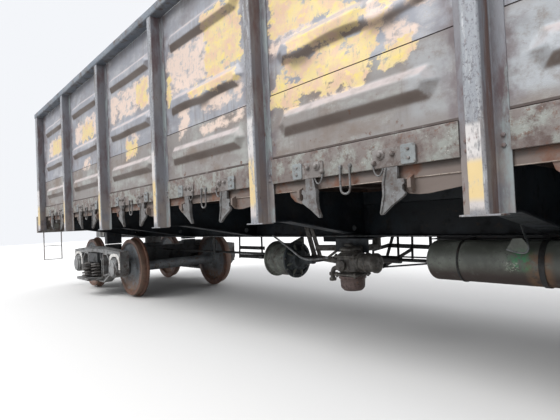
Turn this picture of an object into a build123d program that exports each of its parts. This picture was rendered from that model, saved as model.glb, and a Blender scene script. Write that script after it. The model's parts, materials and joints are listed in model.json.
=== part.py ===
from build123d import *
import os

# Open gondola wagon with fourteen floor hatches, in millimetres.
# X runs along the wagon, Y across it and Z up.
# The origin is under the wagon's middle, level with the lowest points of the wheel flanges.
# A level is a height above the rail, and every other height counts from the origin.

# Levels of the body, and the wheels that carry it
tread_radius = 460.0
flange_height = 28.0
floor_level = 1414.0
wall_top_level = 3403.0
chord_height = 92.0
post_bottom_level = 1092.0
corner_post_level = 1120.0
sill_bottom_level = 920.0
coupler_level = 1060.0
seam_level = 2083.0

# Body length and bays
bay = 1730.0
bay_count = 7
wall_clearance = 4.0
end_post_depth = 150.0
end_post_y = 500.0
end_platform = 135.0

# Body width
half_inner = 1445.0
post_depth = 116.0
chord_overhang = 8.0
chord_round = 14.0

# Wall sheets and their pressings
sheet = 6.0
lap_step = 4.0
pressing_depth = 42.0
pressing_length = 1290.0
pressing_width = 200.0
pressing_crown = 70.0
pressing_end = 90.0
pressing_slope = 55.0
end_pressing_length = 740.0
pressing_low = 1838.0
pressing_middle = 2375.0
pressing_high = 3040.0

# Posts of hat section
post_crown = 94.0
post_mouth = 104.0
post_flange = 248.0
post_gauge = 8.0
post_plate = 10.0
post_plate_length = 195.0

# Lower chord, an angle whose long leg shows below the sheet
lower_chord_drop = 15.0
lower_chord_height = 195.0
lower_chord_gauge = 16.0
lower_chord_leg = 46.0
lower_chord_seat = 2.0

# Centre sill: two Z beams under a hood and a cover
sill_half = 175.0
sill_web = 11.0
sill_height = 310.0
sill_flange = 120.0
sill_flange_gauge = 16.0
cover_lip = 58.0
cover_gauge = 12.0
hood_half = 165.0
hood_web = 10.0

# Cross beams, body bolsters and end beams
beam_flange = 160.0
beam_top_flange = 170.0
beam_web = 12.0
beam_gauge = 12.0
beam_knee = 1250.0
bolster_webs = 116.0
end_beam_depth = 120.0
end_beam_drop = 330.0
striker_depth = 70.0
striker_wall = 55.0
striker_clearance = 20.0

# Floor hatches, hinged beside the centre sill
hatch_end_gap = 10.0
hatch_hood_gap = 10.0
hatch_wall_gap = 5.0
hatch_gap = 4.0
hatch_sheet = 8.0
hatch_rim = 60.0
hatch_lip = 85.0
hatch_rim_gauge = 10.0
hatch_rib_pitch = 365.0
hatch_rib_width = 120.0
hatch_rib_depth = 34.0
hatch_rib_length = 1000.0
hinge_reach = 6.0
hinge_drop = 49.0
hinge_pitch = 560.0
eye_radius = 27.0
eye_length = 60.0
ear_gauge = 16.0
ear_gap = 5.0
ear_trim = 2.0
hinge_pin = 12.0
pin_clearance = 0.5
bracket_offset = 448.0
bracket_gauge = 24.0
bracket_reach = 40.0
bracket_drop = 75.0
bracket_length = 150.0
bracket_bevel = 20.0
skirt_gauge = 16.0
skirt_drop = 96.0
skirt_recess = 8.0

# Latches: claws, their plates and a loop in each bay
claw_gauge = 30.0
claw_top = 1399.0
claw_tip = 1124.0
claw_inner = 240.0
claw_outer = 422.0
latch_plate_inner = 214.0
latch_plate_outer = 500.0
latch_plate_rise = 123.0
latch_plate_gauge = 14.0
latch_plate_round = 22.0
loop_width = 95.0
loop_wire = 16.0
loop_height = 163.0
loop_rise = 36.0

# Wheelsets
wheel_base = 1850.0
gauge_back = 720.0
rim_width = 130.0
rim_depth = 62.0
flange_width = 32.0
tread_fall = 4.0
tread_chamfer = 8.0
web_gauge = 26.0
web_dish = 24.0
web_round = 45.0
hub_radius = 132.0
hub_length = 190.0
seat_radius = 97.0
seat_margin = 12.0
seat_taper = 20.0
axle_radius = 83.0
journal_radius = 65.0
journal_middle = 1018.0
journal_clearance = 1.0
axle_tip = 1130.0
axle_chamfer = 6.0

# Axle boxes
box_radius = 142.0
box_length = 210.0
box_cover_radius = 120.0
box_cover_gauge = 26.0
box_shoe = 150.0
box_shoe_height = 44.0
box_end_gap = 4.0

# Bogie side frames
side_frame_gauge = 140.0
side_frame_level = 765.0
frame_end_level = 735.0
frame_web = 50.0
frame_rim = 26.0
frame_foot = 390.0
frame_low_level = 200.0
frame_shoulder = 560.0
jaw_gap = 8.0
jaw_seat = 2.0
jaw_wall = 100.0
jaw_level = 330.0
jaw_tip_level = 400.0
jaw_lip = 60.0
jaw_slope = 20.0
spring_seat_level = 285.0
spring_window = 300.0
seat_gauge = 40.0
seat_gap = 2.0
window_level = 700.0
window_margin = 30.0
window_neck = 40.0
column = 100.0
column_gap = 22.0

# Bogie bolster with its bowl and side bearers
bolster_half_width = 218.0
bolster_tip = 1128.0
bolster_seat_level = 530.0
bolster_end_level = 690.0
bolster_middle_level = 740.0
bolster_belly_level = 400.0
bolster_seat_y = 710.0
bolster_belly_y = 480.0
bolster_shoulder_y = 860.0
bolster_crest_y = 560.0
bowl_radius = 182.0
bowl_rim = 16.0
bowl_level = 806.0
bowl_floor_level = 781.0
plate_radius = 150.0
plate_gauge = 18.0
plate_gap = 1.0
bearer_y = 762.0
bearer_length = 260.0
bearer_width = 120.0
bearer_level = 820.0
bearer_gap = 12.0
bearer_root = 20.0
bearer_sink = 130.0

# Springs: seven in a nest, in rows of two, three and two
spring_radius = 98.0
spring_bar = 30.0
spring_pitch = 200.0
spring_row = 173.0
spring_turns = 6
spring_groove = 14.0

# Brake beams and shoes on each bogie
shoe_length = 340.0
shoe_gauge = 45.0
shoe_width = 80.0
shoe_gap = 8.0
shoe_middle = 790.0
brake_beam_level = 410.0
brake_beam = 70.0
brake_beam_sink = 8.0
truss_depth = 95.0
truss_half = 420.0
truss_bar = 45.0

# Couplers
coupler_reach = 610.0
coupler_depth = 280.0
coupler_neck = 170.0
coupler_round = 16.0
shank = 130.0
shank_length = 420.0
shank_sink = 200.0
lever_radius = 11.0
lever_stand = 45.0
lever_drop = 90.0
lever_handle = 240.0
lever_inset = 115.0
lever_bracket = 30.0

# Steps and ladders at two opposite corners
step_inset = 155.0
step_width = 330.0
step_level = 520.0
step_bar = 50.0
step_gauge = 10.0
step_tread = 60.0
step_pitch = 280.0
ladder_inset = 470.0
ladder_width = 360.0
ladder_stand = 75.0
ladder_foot_level = 1550.0
ladder_pitch = 310.0
ladder_rungs = 6
rung_radius = 10.0

# Brake gear on the body
cylinder_radius = 196.0
cylinder_drum = 176.0
cylinder_flange = 24.0
cylinder_half = 172.0
cylinder_y = -450.0
cylinder_level = 690.0
cylinder_neck_radius = 108.0
cylinder_neck = 60.0
cylinder_rod = 38.0
bracket_plate = 40.0
bracket_rise = 100.0
bracket_half = 60.0
bracket_inset = 20.0
lever_x = 443.0
lever_width = 60.0
lever_gauge = 30.0
lever_overhang = 25.0
tie_rod_y = -200.0
main_rod_y = -90.0
main_rod = 16.0
main_rod_gap = 640.0
slack_adjuster = 34.0
slack_adjuster_length = 700.0
hanger_pitch = 1900.0
hanger_width = 40.0
reservoir_radius = 150.0
reservoir_length = 1120.0
reservoir_offset = 835.0
reservoir_y = -520.0
reservoir_level = 760.0
reservoir_round = 50.0
strap_margin = 275.0
strap_gauge = 8.0
strap_width = 60.0
valve_offset = 165.0
valve_y = -600.0
valve_level = 460.0
valve_width = 250.0
valve_depth = 230.0
valve_height = 260.0
bucket_radius = 118.0
bucket_height = 135.0
valve_drum_radius = 84.0
valve_drum_length = 300.0
valve_drum_rise = 255.0
valve_arm = 60.0
pipe_radius = 21.0
pipe_y = 345.0
pipe_level = 1010.0
pipe_clearance = 9.0
pipe_end_gap = 10.0

# Heights counted from the origin
rail_top = flange_height
floor_top = rail_top + floor_level
wall_top = rail_top + wall_top_level
post_bottom = rail_top + post_bottom_level
sill_bottom = rail_top + sill_bottom_level
sill_top = sill_bottom + sill_height
cover_bottom = floor_top - cover_gauge
seam = rail_top + seam_level
wheel_height = rail_top + tread_radius
coupler_height = rail_top + coupler_level
pipe_height = rail_top + pipe_level
hinge_height = floor_top - hinge_drop
lower_chord_bottom = floor_top - lower_chord_drop
pressing_heights = [rail_top + level for level in (pressing_low, pressing_middle, pressing_high)]

# Places along the wagon
bogie_base = bay * (bay_count - 2)
half_inside = bay * bay_count / 2 + wall_clearance
wall_end = half_inside + sheet
post_end = wall_end + end_post_depth
half_body = post_end + end_platform
corner_post_middle = wall_end + end_post_depth / 2
post_spots = [bay * (n - (bay_count - 1) / 2 - 0.5) for n in range(1, bay_count)]
bay_spots = [bay * (n - (bay_count - 1) / 2) for n in range(bay_count)]
bolster_spots = (-bogie_base / 2, bogie_base / 2)
beam_spots = [x for x in post_spots if abs(abs(x) - bogie_base / 2) > bay / 4]

# Places across the wagon
half_outer = half_inner + sheet
half_width = half_outer + post_depth
chord_face = half_outer + lower_chord_gauge
hinge_y = hood_half + hinge_reach + eye_radius
cover_half = hood_half + cover_lip
hatch_inner = cover_half + hatch_hood_gap
hatch_outer = half_inner - hatch_wall_gap
hatch_half_length = (bay - beam_top_flange) / 2 - hatch_end_gap

sides = ((-1, "left"), (1, "right"))
ends = ((-1, "rear"), (1, "front"))
hands = (-1, 1)

os.makedirs("parts", exist_ok=True)


def keep(piece, name):
    """Labels a finished piece and writes its file."""
    piece.label = name
    export_step(piece, f"parts/{name}.step")


def both_hands(half):
    """A closed outline from its half at positive X and the mirror image of that half."""
    return [*half, *[(-x, z) for x, z in reversed(half)]]


# Side walls: an upper and a lower sheet with long pressings that swell outwards
def pressing_outline(length, inset, rise):
    """Six corners of a pressing, shrunk by the inset and narrowed towards its crown by the rise."""
    half_long = length / 2 - inset - rise * pressing_slope
    half_tip = half_long - pressing_end
    half_wide = (pressing_width * (1 - rise) + pressing_crown * rise) / 2 - inset
    return ((-half_long, 0), (-half_tip, half_wide), (half_tip, half_wide), (half_long, 0),
            (half_tip, -half_wide), (-half_tip, -half_wide))


def pressing(plane, length, inset, bottom, top):
    """A solid swelling from its foot to its crown, which stand at two distances from a plane."""
    with BuildPart() as swelling:
        with BuildSketch(plane.offset(bottom)):
            Polygon(*pressing_outline(length, inset, 0), align=None)
        with BuildSketch(plane.offset(top)):
            Polygon(*pressing_outline(length, inset, 1), align=None)
        loft()
    return swelling


bulge = pressing(Plane.XZ, pressing_length, 0, 0, sheet + pressing_depth)
bulge_hollow = pressing(Plane.XZ, pressing_length, sheet, -1, pressing_depth)
end_bulge = pressing(Plane.XY, end_pressing_length, 0, 0, sheet + pressing_depth)
end_hollow = pressing(Plane.XY, end_pressing_length, sheet, -1, pressing_depth)

wall_foot = floor_top + lower_chord_seat + beam_gauge
lap_foot = lower_chord_bottom + lower_chord_height
pressing_spots = [(x, -half_inner, z) for x in bay_spots for z in pressing_heights]
with BuildPart() as side_wall:
    with BuildSketch(Plane.YZ.offset(-wall_end)):
        with BuildLine():
            Polyline(
                (-half_inner, wall_foot),
                (-half_inner, wall_top),
                (-half_outer, wall_top),
                (-half_outer, seam),
                (-half_outer - lap_step, seam),
                (-half_outer - lap_step, lap_foot),
                (-half_outer, lap_foot),
                (-half_outer, wall_foot),
                close=True,
            )
        make_face()
    extrude(amount=2 * wall_end)
    with Locations(*pressing_spots):
        add(bulge.part)
    with Locations(*pressing_spots):
        add(bulge_hollow.part, mode=Mode.SUBTRACT)
    # The lower sheet stands proud of the upper one only between the posts
    with Locations(*[(x, -half_outer - lap_step, seam) for x in post_spots]):
        Box(post_flange, lap_step, seam - floor_top,
            align=(Align.CENTER, Align.MIN, Align.MAX), mode=Mode.SUBTRACT)

keep(side_wall.part, "side_wall_left")
keep(mirror(side_wall.part, about=Plane.XZ), "side_wall_right")


# Posts: hat sections with a closing plate at the bottom, and box posts at the corners
def hat_section(x, side):
    """Outline of a post that stands on the wall at a place along it, its crown outwards."""
    mouth_inner = post_mouth / 2 - post_gauge
    crown_inner = post_crown / 2 - post_gauge
    half = (
        (post_crown / 2, half_width),
        (post_mouth / 2, half_outer + post_gauge),
        (post_flange / 2, half_outer + post_gauge),
        (post_flange / 2, half_outer),
        (mouth_inner, half_outer),
        (crown_inner, half_width - post_gauge),
    )
    return [(x + u, side * y) for u, y in both_hands(half)]


with BuildPart() as posts:
    for side, name in sides:
        with BuildSketch(Plane.XY.offset(post_bottom)):
            for x in post_spots:
                Polygon(*hat_section(x, side), align=None)
        extrude(amount=wall_top - post_bottom)
        with Locations(*[(x, side * (half_outer + post_depth / 2), post_bottom) for x in post_spots]):
            Box(post_plate_length, post_depth, post_plate, align=(Align.CENTER, Align.CENTER, Align.MIN))
        corner_bottom = rail_top + corner_post_level
        corner_y = side * (half_inner + half_width) / 2
        with Locations(*[(end * corner_post_middle, corner_y, corner_bottom) for end in hands]):
            Box(end_post_depth, half_width - half_inner, wall_top - corner_bottom,
                align=(Align.CENTER, Align.CENTER, Align.MIN))
keep(posts.part, "posts")

# Top chords, one along each side
with BuildPart() as top_chords:
    chord_width = half_width + chord_overhang - half_inner
    with Locations(*[(0, side * (half_inner + chord_width / 2), wall_top) for side, name in sides]):
        Box(2 * post_end, chord_width, chord_height, align=(Align.CENTER, Align.CENTER, Align.MIN))
    fillet(top_chords.edges().filter_by(Axis.X), chord_round)
keep(top_chords.part, "top_chords")

# Lower chords, one angle between each pair of posts
chord_starts = [-wall_end, *[x + post_flange / 2 for x in post_spots]]
chord_stops = [*[x - post_flange / 2 for x in post_spots], wall_end]
with BuildPart() as lower_chords:
    for side, name in sides:
        outwards = (Align.CENTER, Align.MIN if side > 0 else Align.MAX, Align.MIN)
        inwards = (Align.CENTER, Align.MAX if side > 0 else Align.MIN, Align.MIN)
        for left, right in zip(chord_starts, chord_stops):
            with Locations(((left + right) / 2, side * half_outer, lower_chord_bottom)):
                Box(right - left, lower_chord_gauge, lower_chord_height, align=outwards)
            seat_left, seat_right = max(left, -half_inside), min(right, half_inside)
            with Locations(((seat_left + seat_right) / 2, side * half_outer, floor_top + lower_chord_seat)):
                Box(seat_right - seat_left, lower_chord_leg, beam_gauge, align=inwards)
keep(lower_chords.part, "lower_chords")

# End walls: a pressed sheet, two posts outside it and a chord on top
field_edges = (
    (-half_inner, -end_post_y - post_mouth / 2),
    (-end_post_y + post_mouth / 2, end_post_y - post_mouth / 2),
    (end_post_y + post_mouth / 2, half_inner),
)
field_middles = [(low + high) / 2 for low, high in field_edges]
for end, name in ends:
    fields = [Plane((end * half_inside, y, z), x_dir=(0, 1, 0), z_dir=(end, 0, 0))
              for y in field_middles for z in pressing_heights]
    with BuildPart() as end_wall:
        with Locations((end * (half_inside + sheet / 2), 0, floor_top + lower_chord_seat)):
            Box(sheet, 2 * half_inner, wall_top - floor_top - lower_chord_seat,
                align=(Align.CENTER, Align.CENTER, Align.MIN))
        with Locations(*[(end * corner_post_middle, y, floor_top) for y in (-end_post_y, end_post_y)]):
            Box(end_post_depth, post_mouth, wall_top - floor_top,
                align=(Align.CENTER, Align.CENTER, Align.MIN))
        with Locations((end * (half_inside + post_end) / 2, 0, wall_top)):
            Box(post_end - half_inside, 2 * half_inner, chord_height,
                align=(Align.CENTER, Align.CENTER, Align.MIN))
        with Locations(*fields):
            add(end_bulge.part)
        with Locations(*fields):
            add(end_hollow.part, mode=Mode.SUBTRACT)
    keep(end_wall.part, f"end_wall_{name}")

# Centre sill: two Z beams, open below, with a hood and a cover at floor level
sill_half_section = (
    (sill_half - sill_web, sill_bottom),
    (sill_half + sill_flange, sill_bottom),
    (sill_half + sill_flange, sill_bottom + sill_flange_gauge),
    (sill_half, sill_bottom + sill_flange_gauge),
    (sill_half, sill_top),
)
sill_roof = sill_top - sill_flange_gauge
with BuildPart() as centre_sill:
    with BuildSketch(Plane.YZ.offset(-half_body)):
        Polygon(*both_hands(sill_half_section), (-sill_half + sill_web, sill_roof),
                (sill_half - sill_web, sill_roof), align=None)
    extrude(amount=2 * half_body)
    with Locations(*[(0, side * (hood_half - hood_web / 2), sill_top) for side, name in sides]):
        Box(2 * half_inside, hood_web, cover_bottom - sill_top, align=(Align.CENTER, Align.CENTER, Align.MIN))
    with Locations((0, 0, cover_bottom)):
        Box(2 * half_inside, 2 * cover_half, cover_gauge, align=(Align.CENTER, Align.CENTER, Align.MIN))
keep(centre_sill.part, "centre_sill")


# Cross beams: a web with a flange along its slanting lower edge
def beam_edge(lift):
    """Lower edge of a cross beam from the sill to the post, lifted by a height."""
    return (
        (sill_half, sill_bottom + sill_flange_gauge + lift),
        (sill_half + sill_flange, sill_bottom + sill_flange_gauge + lift),
        (beam_knee, post_bottom + post_plate + lift),
        (half_outer, post_bottom + post_plate + lift),
    )


def half_beam(web_places):
    """One side of a cross beam: webs at the places given, a lower and an upper flange."""
    with BuildPart() as beam:
        for place in web_places:
            with BuildSketch(Plane.YZ.offset(place - beam_web / 2)):
                Polygon(*beam_edge(0), (half_outer, cover_bottom), (sill_half, cover_bottom), align=None)
                with Locations((pipe_y, pipe_height)):
                    Circle(pipe_radius + pipe_clearance, mode=Mode.SUBTRACT)
            extrude(amount=beam_web)
        with BuildSketch(Plane.YZ.offset(-beam_flange / 2)):
            Polygon(*beam_edge(0), *reversed(beam_edge(beam_gauge)), align=None)
        extrude(amount=beam_flange)
        with Locations((0, cover_half, cover_bottom)):
            Box(beam_top_flange, half_inner - cover_half, cover_gauge,
                align=(Align.CENTER, Align.MIN, Align.MIN))
    return beam


plain_beam = half_beam((0,))
plain_beam_mirrored = mirror(plain_beam.part, about=Plane.XZ)
with BuildPart() as cross_beams:
    with Locations(*[(x, 0, 0) for x in beam_spots]):
        add(plain_beam.part)
        add(plain_beam_mirrored)
keep(cross_beams.part, "cross_beams")

# Body bolsters: the same beam with two webs, and a side bearer under it
bearer_ceiling = rail_top + bearer_level + bearer_gap
bolster_beam = half_beam((-bolster_webs / 2, bolster_webs / 2))
with BuildPart() as half_bolster:
    add(bolster_beam.part)
    with Locations((0, bearer_y, bearer_ceiling)):
        Box(bearer_width, bearer_length, sill_bottom + bearer_sink - bearer_ceiling,
            align=(Align.CENTER, Align.CENTER, Align.MIN))
half_bolster_mirrored = mirror(half_bolster.part, about=Plane.XZ)
with BuildPart() as body_bolsters:
    with Locations(*[(x, 0, 0) for x in bolster_spots]):
        add(half_bolster.part)
        add(half_bolster_mirrored)
keep(body_bolsters.part, "body_bolsters")

# Centre plates under the sill, each resting in a bogie's bowl
plate_foot = rail_top + bowl_floor_level + plate_gap
with BuildPart() as centre_plates:
    with Locations(*[(x, 0, plate_foot) for x in bolster_spots]):
        Cylinder(plate_radius, sill_bottom - plate_foot, align=(Align.CENTER, Align.CENTER, Align.MIN))
    with Locations(*[(x, 0, sill_bottom) for x in bolster_spots]):
        Box(2 * plate_radius, 2 * (sill_half + sill_flange), plate_gauge,
            align=(Align.CENTER, Align.CENTER, Align.MAX))
keep(centre_plates.part, "centre_plates")

# End beams: a deep plate across the wagon, a platform behind it and a striker round the coupler
striker_hole = shank / 2 + striker_clearance
with BuildPart() as end_beam:
    for side in hands:
        with Locations((half_body, side * sill_half, floor_top)):
            Box(end_beam_depth, half_width - sill_half, end_beam_drop,
                align=(Align.MAX, Align.MIN if side > 0 else Align.MAX, Align.MAX))
    with Locations((half_body, 0, floor_top)):
        Box(end_beam_depth, 2 * sill_half, floor_top - sill_top, align=(Align.MAX, Align.CENTER, Align.MAX))
        Box(half_body - post_end, 2 * half_width, cover_gauge, align=(Align.MAX, Align.CENTER, Align.MAX))
        Box(half_body - half_inside, 2 * half_inner, cover_gauge, align=(Align.MAX, Align.CENTER, Align.MAX))
    with BuildSketch(Plane.YZ.offset(half_body)):
        with Locations((0, coupler_height)):
            Rectangle(2 * (sill_half + striker_wall), 2 * (striker_hole + striker_wall))
            Rectangle(2 * striker_hole, 2 * striker_hole, mode=Mode.SUBTRACT)
    extrude(amount=striker_depth)
with BuildPart() as end_beams:
    add(end_beam.part)
    add(end_beam.part.rotate(Axis.Z, 180))
keep(end_beams.part, "end_beams")

# Floor hatches: a sheet with a rim, ribs, latch brackets, a belly plate and three hinge eyes
hatch_top = floor_top - hatch_gap
lip_low = hatch_top - hatch_lip
hatch_middle = (hatch_inner + hatch_outer) / 2
rib_spots = [hatch_rib_pitch * (n - 1.5) for n in range(4)]
hinge_spots = (-hinge_pitch, 0, hinge_pitch)
# Distance from the hatch's middle and share of the skirt's depth, for the long and the short plate
long_skirt = ((376, 0), (386, 0.7), (420, 0.92), (480, 1), (540, 1), (620, 0.9), (760, 0.72), (760, 0))
short_skirt = ((-590, 0), (-575, 0.4), (-530, 0.8), (-470, 1), (-425, 1), (-395, 0.7), (-390, 0))
with BuildPart() as hatch:
    with Locations((0, hatch_inner, hatch_top)):
        Box(2 * hatch_half_length, hatch_outer - hatch_inner, hatch_rim,
            align=(Align.CENTER, Align.MIN, Align.MAX))
    with Locations((0, hatch_middle, hatch_top - hatch_sheet)):
        Box(2 * (hatch_half_length - hatch_rim_gauge), hatch_outer - hatch_inner - 2 * hatch_rim_gauge,
            hatch_rim, align=(Align.CENTER, Align.CENTER, Align.MAX), mode=Mode.SUBTRACT)
    with Locations((0, hatch_outer, hatch_top)):
        Box(2 * hatch_half_length, hatch_rim_gauge, hatch_lip, align=(Align.CENTER, Align.MAX, Align.MAX))
    with Locations(*[(x, hatch_middle, hatch_top - hatch_sheet) for x in rib_spots]):
        Box(hatch_rib_width, hatch_rib_length, hatch_rib_depth, align=(Align.CENTER, Align.CENTER, Align.MAX))
    with Locations(*[(x, hatch_middle, hatch_top) for x in rib_spots]):
        Box(hatch_rib_width - 2 * hatch_sheet, hatch_rib_length - 2 * hatch_sheet, hatch_rib_depth,
            align=(Align.CENTER, Align.CENTER, Align.MAX), mode=Mode.SUBTRACT)
    for x in (-bracket_offset, bracket_offset):
        with BuildSketch(Plane.YZ.offset(x - bracket_gauge / 2)):
            Polygon(
                (hatch_outer, lip_low + bracket_bevel),
                (hatch_outer + bracket_reach, lip_low),
                (hatch_outer + bracket_reach, lip_low - bracket_drop + bracket_bevel),
                (hatch_outer + bracket_reach - bracket_bevel, lip_low - bracket_drop),
                (hatch_outer - bracket_reach, lip_low - bracket_drop),
                (hatch_outer + bracket_reach - bracket_length, hatch_top - hatch_rim),
                (hatch_outer - hatch_rim_gauge, hatch_top - hatch_rim),
                align=None,
            )
        extrude(amount=bracket_gauge)
    with BuildSketch(Plane.XZ.offset(skirt_recess - hatch_outer)):
        for skirt in (long_skirt, short_skirt):
            skirt_outline = [(x, lip_low + (0 if share else skirt_recess) - share * skirt_drop)
                             for x, share in skirt]
            Polygon(*skirt_outline, align=None)
    extrude(amount=skirt_gauge)
    for x in hinge_spots:
        with BuildSketch(Plane.YZ.offset(x - eye_length / 2)):
            with Locations((hinge_y, hinge_height)):
                Circle(eye_radius)
                Rectangle(hatch_inner - hinge_y, eye_radius, align=(Align.MIN, Align.CENTER))
                Circle(hinge_pin + pin_clearance, mode=Mode.SUBTRACT)
        extrude(amount=eye_length)

hatch_mirrored = mirror(hatch.part, about=Plane.XZ)
for side, name in sides:
    for number, x in enumerate(bay_spots, start=1):
        keep(Pos(x, 0, 0) * (hatch.part if side > 0 else hatch_mirrored), f"hatch_{name}_{number}")

# Hinge ears and pins on the centre sill's hood
ear_from = eye_length / 2 + ear_gap
ear_radius = eye_radius - ear_trim
with BuildPart() as hinge_set:
    for x in hinge_spots:
        for start in (-ear_from - ear_gauge, ear_from):
            with BuildSketch(Plane.YZ.offset(x + start)):
                with Locations((hinge_y, hinge_height)):
                    Circle(ear_radius)
                    Rectangle(hinge_y - hood_half, 2 * ear_radius, align=(Align.MAX, Align.CENTER))
            extrude(amount=ear_gauge)
        with BuildSketch(Plane.YZ.offset(x - ear_from - ear_gauge)):
            with Locations((hinge_y, hinge_height)):
                Circle(hinge_pin)
        extrude(amount=2 * (ear_from + ear_gauge))

hinge_mirrored = mirror(hinge_set.part, about=Plane.XZ)
with BuildPart() as hatch_hinges:
    with Locations(*[(x, 0, 0) for x in bay_spots]):
        add(hinge_set.part)
        add(hinge_mirrored)
keep(hatch_hinges.part, "hatch_hinges")

# Latches: a pair of claws in each bay, hung on plates on the lower chord, and a loop between them
claw_reach = claw_outer - claw_inner
claw_fall = claw_top - claw_tip
# Share of the claw's reach from its inner side, and share of its fall from its top
claw_table = (
    (0.40, 0), (0.36, 0.07), (0.16, 0.29), (0.18, 0.58), (0, 0.94), (0.09, 1),
    (0.98, 0.58), (0.93, 0.50), (1, 0.30), (0.78, 0.29), (0.84, 0),
)
claw_outline = [(claw_inner + across * claw_reach, rail_top + claw_top - down * claw_fall)
                for across, down in claw_table]
with BuildPart() as claws:
    for side, name in sides:
        near = min(side * half_outer, side * (half_outer + claw_gauge))
        for x in bay_spots:
            for hand in hands:
                with BuildSketch(Plane.XZ.offset(-near)):
                    Polygon(*[(x + hand * u, z) for u, z in claw_outline], align=None)
                extrude(amount=-claw_gauge)
keep(claws.part, "latch_claws")

plate_middle = (latch_plate_inner + latch_plate_outer) / 2
loop_top = lower_chord_bottom + loop_rise
with BuildPart() as latch_plates:
    for side, name in sides:
        near = min(side * chord_face, side * (chord_face + latch_plate_gauge))
        with BuildSketch(Plane.XZ.offset(-near)):
            with Locations(*[(x + hand * plate_middle, lower_chord_bottom + latch_plate_rise / 2)
                             for x in bay_spots for hand in hands]):
                RectangleRounded(latch_plate_outer - latch_plate_inner, latch_plate_rise, latch_plate_round)
            with Locations(*[(x, loop_top - loop_height / 2) for x in bay_spots]):
                SlotOverall(loop_height, loop_width, rotation=90)
                SlotOverall(loop_height - 2 * loop_wire, loop_width - 2 * loop_wire, rotation=90,
                            mode=Mode.SUBTRACT)
        extrude(amount=-latch_plate_gauge)
keep(latch_plates.part, "latch_plates")

# Wheelsets: solid wheels with a dished web, pressed on an axle
rim_inner = tread_radius - rim_depth
rim_face = gauge_back + rim_width
hub_middle = gauge_back + rim_width / 2
hub_face = hub_middle + hub_length / 2
hub_back = hub_middle - hub_length / 2
flange_tip = tread_radius + flange_height
flange_round = flange_width / 3
with BuildPart() as wheel:
    with BuildSketch(Plane.YZ):
        with BuildLine():
            Polyline(
                (gauge_back, rim_inner),
                (gauge_back, flange_tip - flange_round),
                (gauge_back + flange_round, flange_tip),
                (gauge_back + flange_width - flange_round, flange_tip),
                (gauge_back + flange_width, tread_radius + tread_fall / 2),
                (rim_face - tread_chamfer, tread_radius - tread_fall),
                (rim_face, tread_radius - tread_fall - tread_chamfer),
                (rim_face, rim_inner),
            )
            FilletPolyline(
                (rim_face, rim_inner),
                (hub_middle + web_dish + web_gauge / 2, rim_inner - web_gauge),
                (hub_middle + web_gauge / 2, hub_radius + web_round),
                (hub_face, hub_radius),
                radius=[web_round, web_round],
            )
            Polyline(
                (hub_face, hub_radius),
                (hub_face, seat_radius),
                (hub_back, seat_radius),
                (hub_back, hub_radius),
            )
            FilletPolyline(
                (hub_back, hub_radius),
                (hub_middle - web_gauge / 2, hub_radius + web_round),
                (hub_middle + web_dish - web_gauge / 2, rim_inner - web_gauge),
                (gauge_back, rim_inner),
                radius=[web_round, web_round],
            )
        make_face()
    revolve(axis=Axis.Y)

seat_inner = hub_back - seat_margin
journal_inner = hub_face + seat_taper
axle_half = (
    (seat_inner - seat_taper, axle_radius),
    (seat_inner, seat_radius),
    (hub_face, seat_radius),
    (journal_inner, journal_radius),
    (axle_tip - axle_chamfer, journal_radius),
    (axle_tip, journal_radius - axle_chamfer),
    (axle_tip, 0),
)
with BuildPart() as axle:
    with BuildSketch(Plane.YZ):
        Polygon(*both_hands(axle_half), align=None)
    revolve(axis=Axis.Y)

axle_x = wheel_base / 2
wheel_mirrored = mirror(wheel.part, about=Plane.XZ)
wheelset_spots = [bolster + hand * axle_x for bolster in bolster_spots for hand in hands]
for number, x in enumerate(wheelset_spots, start=1):
    with BuildPart() as wheel_pair:
        with Locations((x, 0, wheel_height)):
            add(wheel.part)
            add(wheel_mirrored)
    keep(wheel_pair.part, f"wheels_{number}")
    keep(Pos(x, 0, wheel_height) * axle.part, f"axle_{number}")

# Axle boxes: a drum on each journal with a cover, and a shoe under the side frame's jaw
box_inner = journal_middle - box_length / 2
with BuildPart() as axle_box:
    with BuildSketch(Plane.XZ.offset(-box_inner)):
        Circle(box_radius)
    extrude(amount=-box_length)
    with BuildSketch(Plane.XZ.offset(-box_inner - box_length)):
        Circle(box_cover_radius)
    extrude(amount=-box_cover_gauge)
    with BuildSketch(Plane.XZ.offset(-box_inner)):
        with Locations((0, box_radius)):
            Rectangle(2 * box_shoe, box_shoe_height, align=(Align.CENTER, Align.MAX))
    extrude(amount=-box_length)
    with BuildSketch(Plane.XZ.offset(-box_inner)):
        Circle(journal_radius + journal_clearance)
    extrude(amount=box_inner - axle_tip - box_end_gap, mode=Mode.SUBTRACT)

# Side frames: a web with raised rims, jaws over the boxes and a seat for the springs
jaw_roof = wheel_height + box_radius + jaw_seat
outer_jaw = axle_x + box_shoe + jaw_gap
inner_jaw = axle_x - box_shoe - jaw_gap
window_side = spring_window + column
bolster_side = bolster_half_width + column_gap
frame_half = (
    (frame_foot, rail_top + frame_low_level),
    (inner_jaw - jaw_wall, rail_top + jaw_level),
    (inner_jaw, rail_top + jaw_level + jaw_slope),
    (inner_jaw, jaw_roof),
    (outer_jaw, jaw_roof),
    (outer_jaw, rail_top + jaw_tip_level),
    (outer_jaw + jaw_lip, rail_top + jaw_tip_level),
    (outer_jaw + jaw_lip + jaw_slope, jaw_roof + jaw_lip),
    (outer_jaw + jaw_lip + jaw_slope, rail_top + frame_end_level),
    (frame_shoulder, rail_top + side_frame_level),
)
bolster_window = both_hands((
    (spring_window, rail_top + spring_seat_level),
    (spring_window, rail_top + bolster_seat_level + window_margin),
    (bolster_side, rail_top + bolster_seat_level + 2 * window_margin),
    (bolster_side, rail_top + window_level),
))
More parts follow.
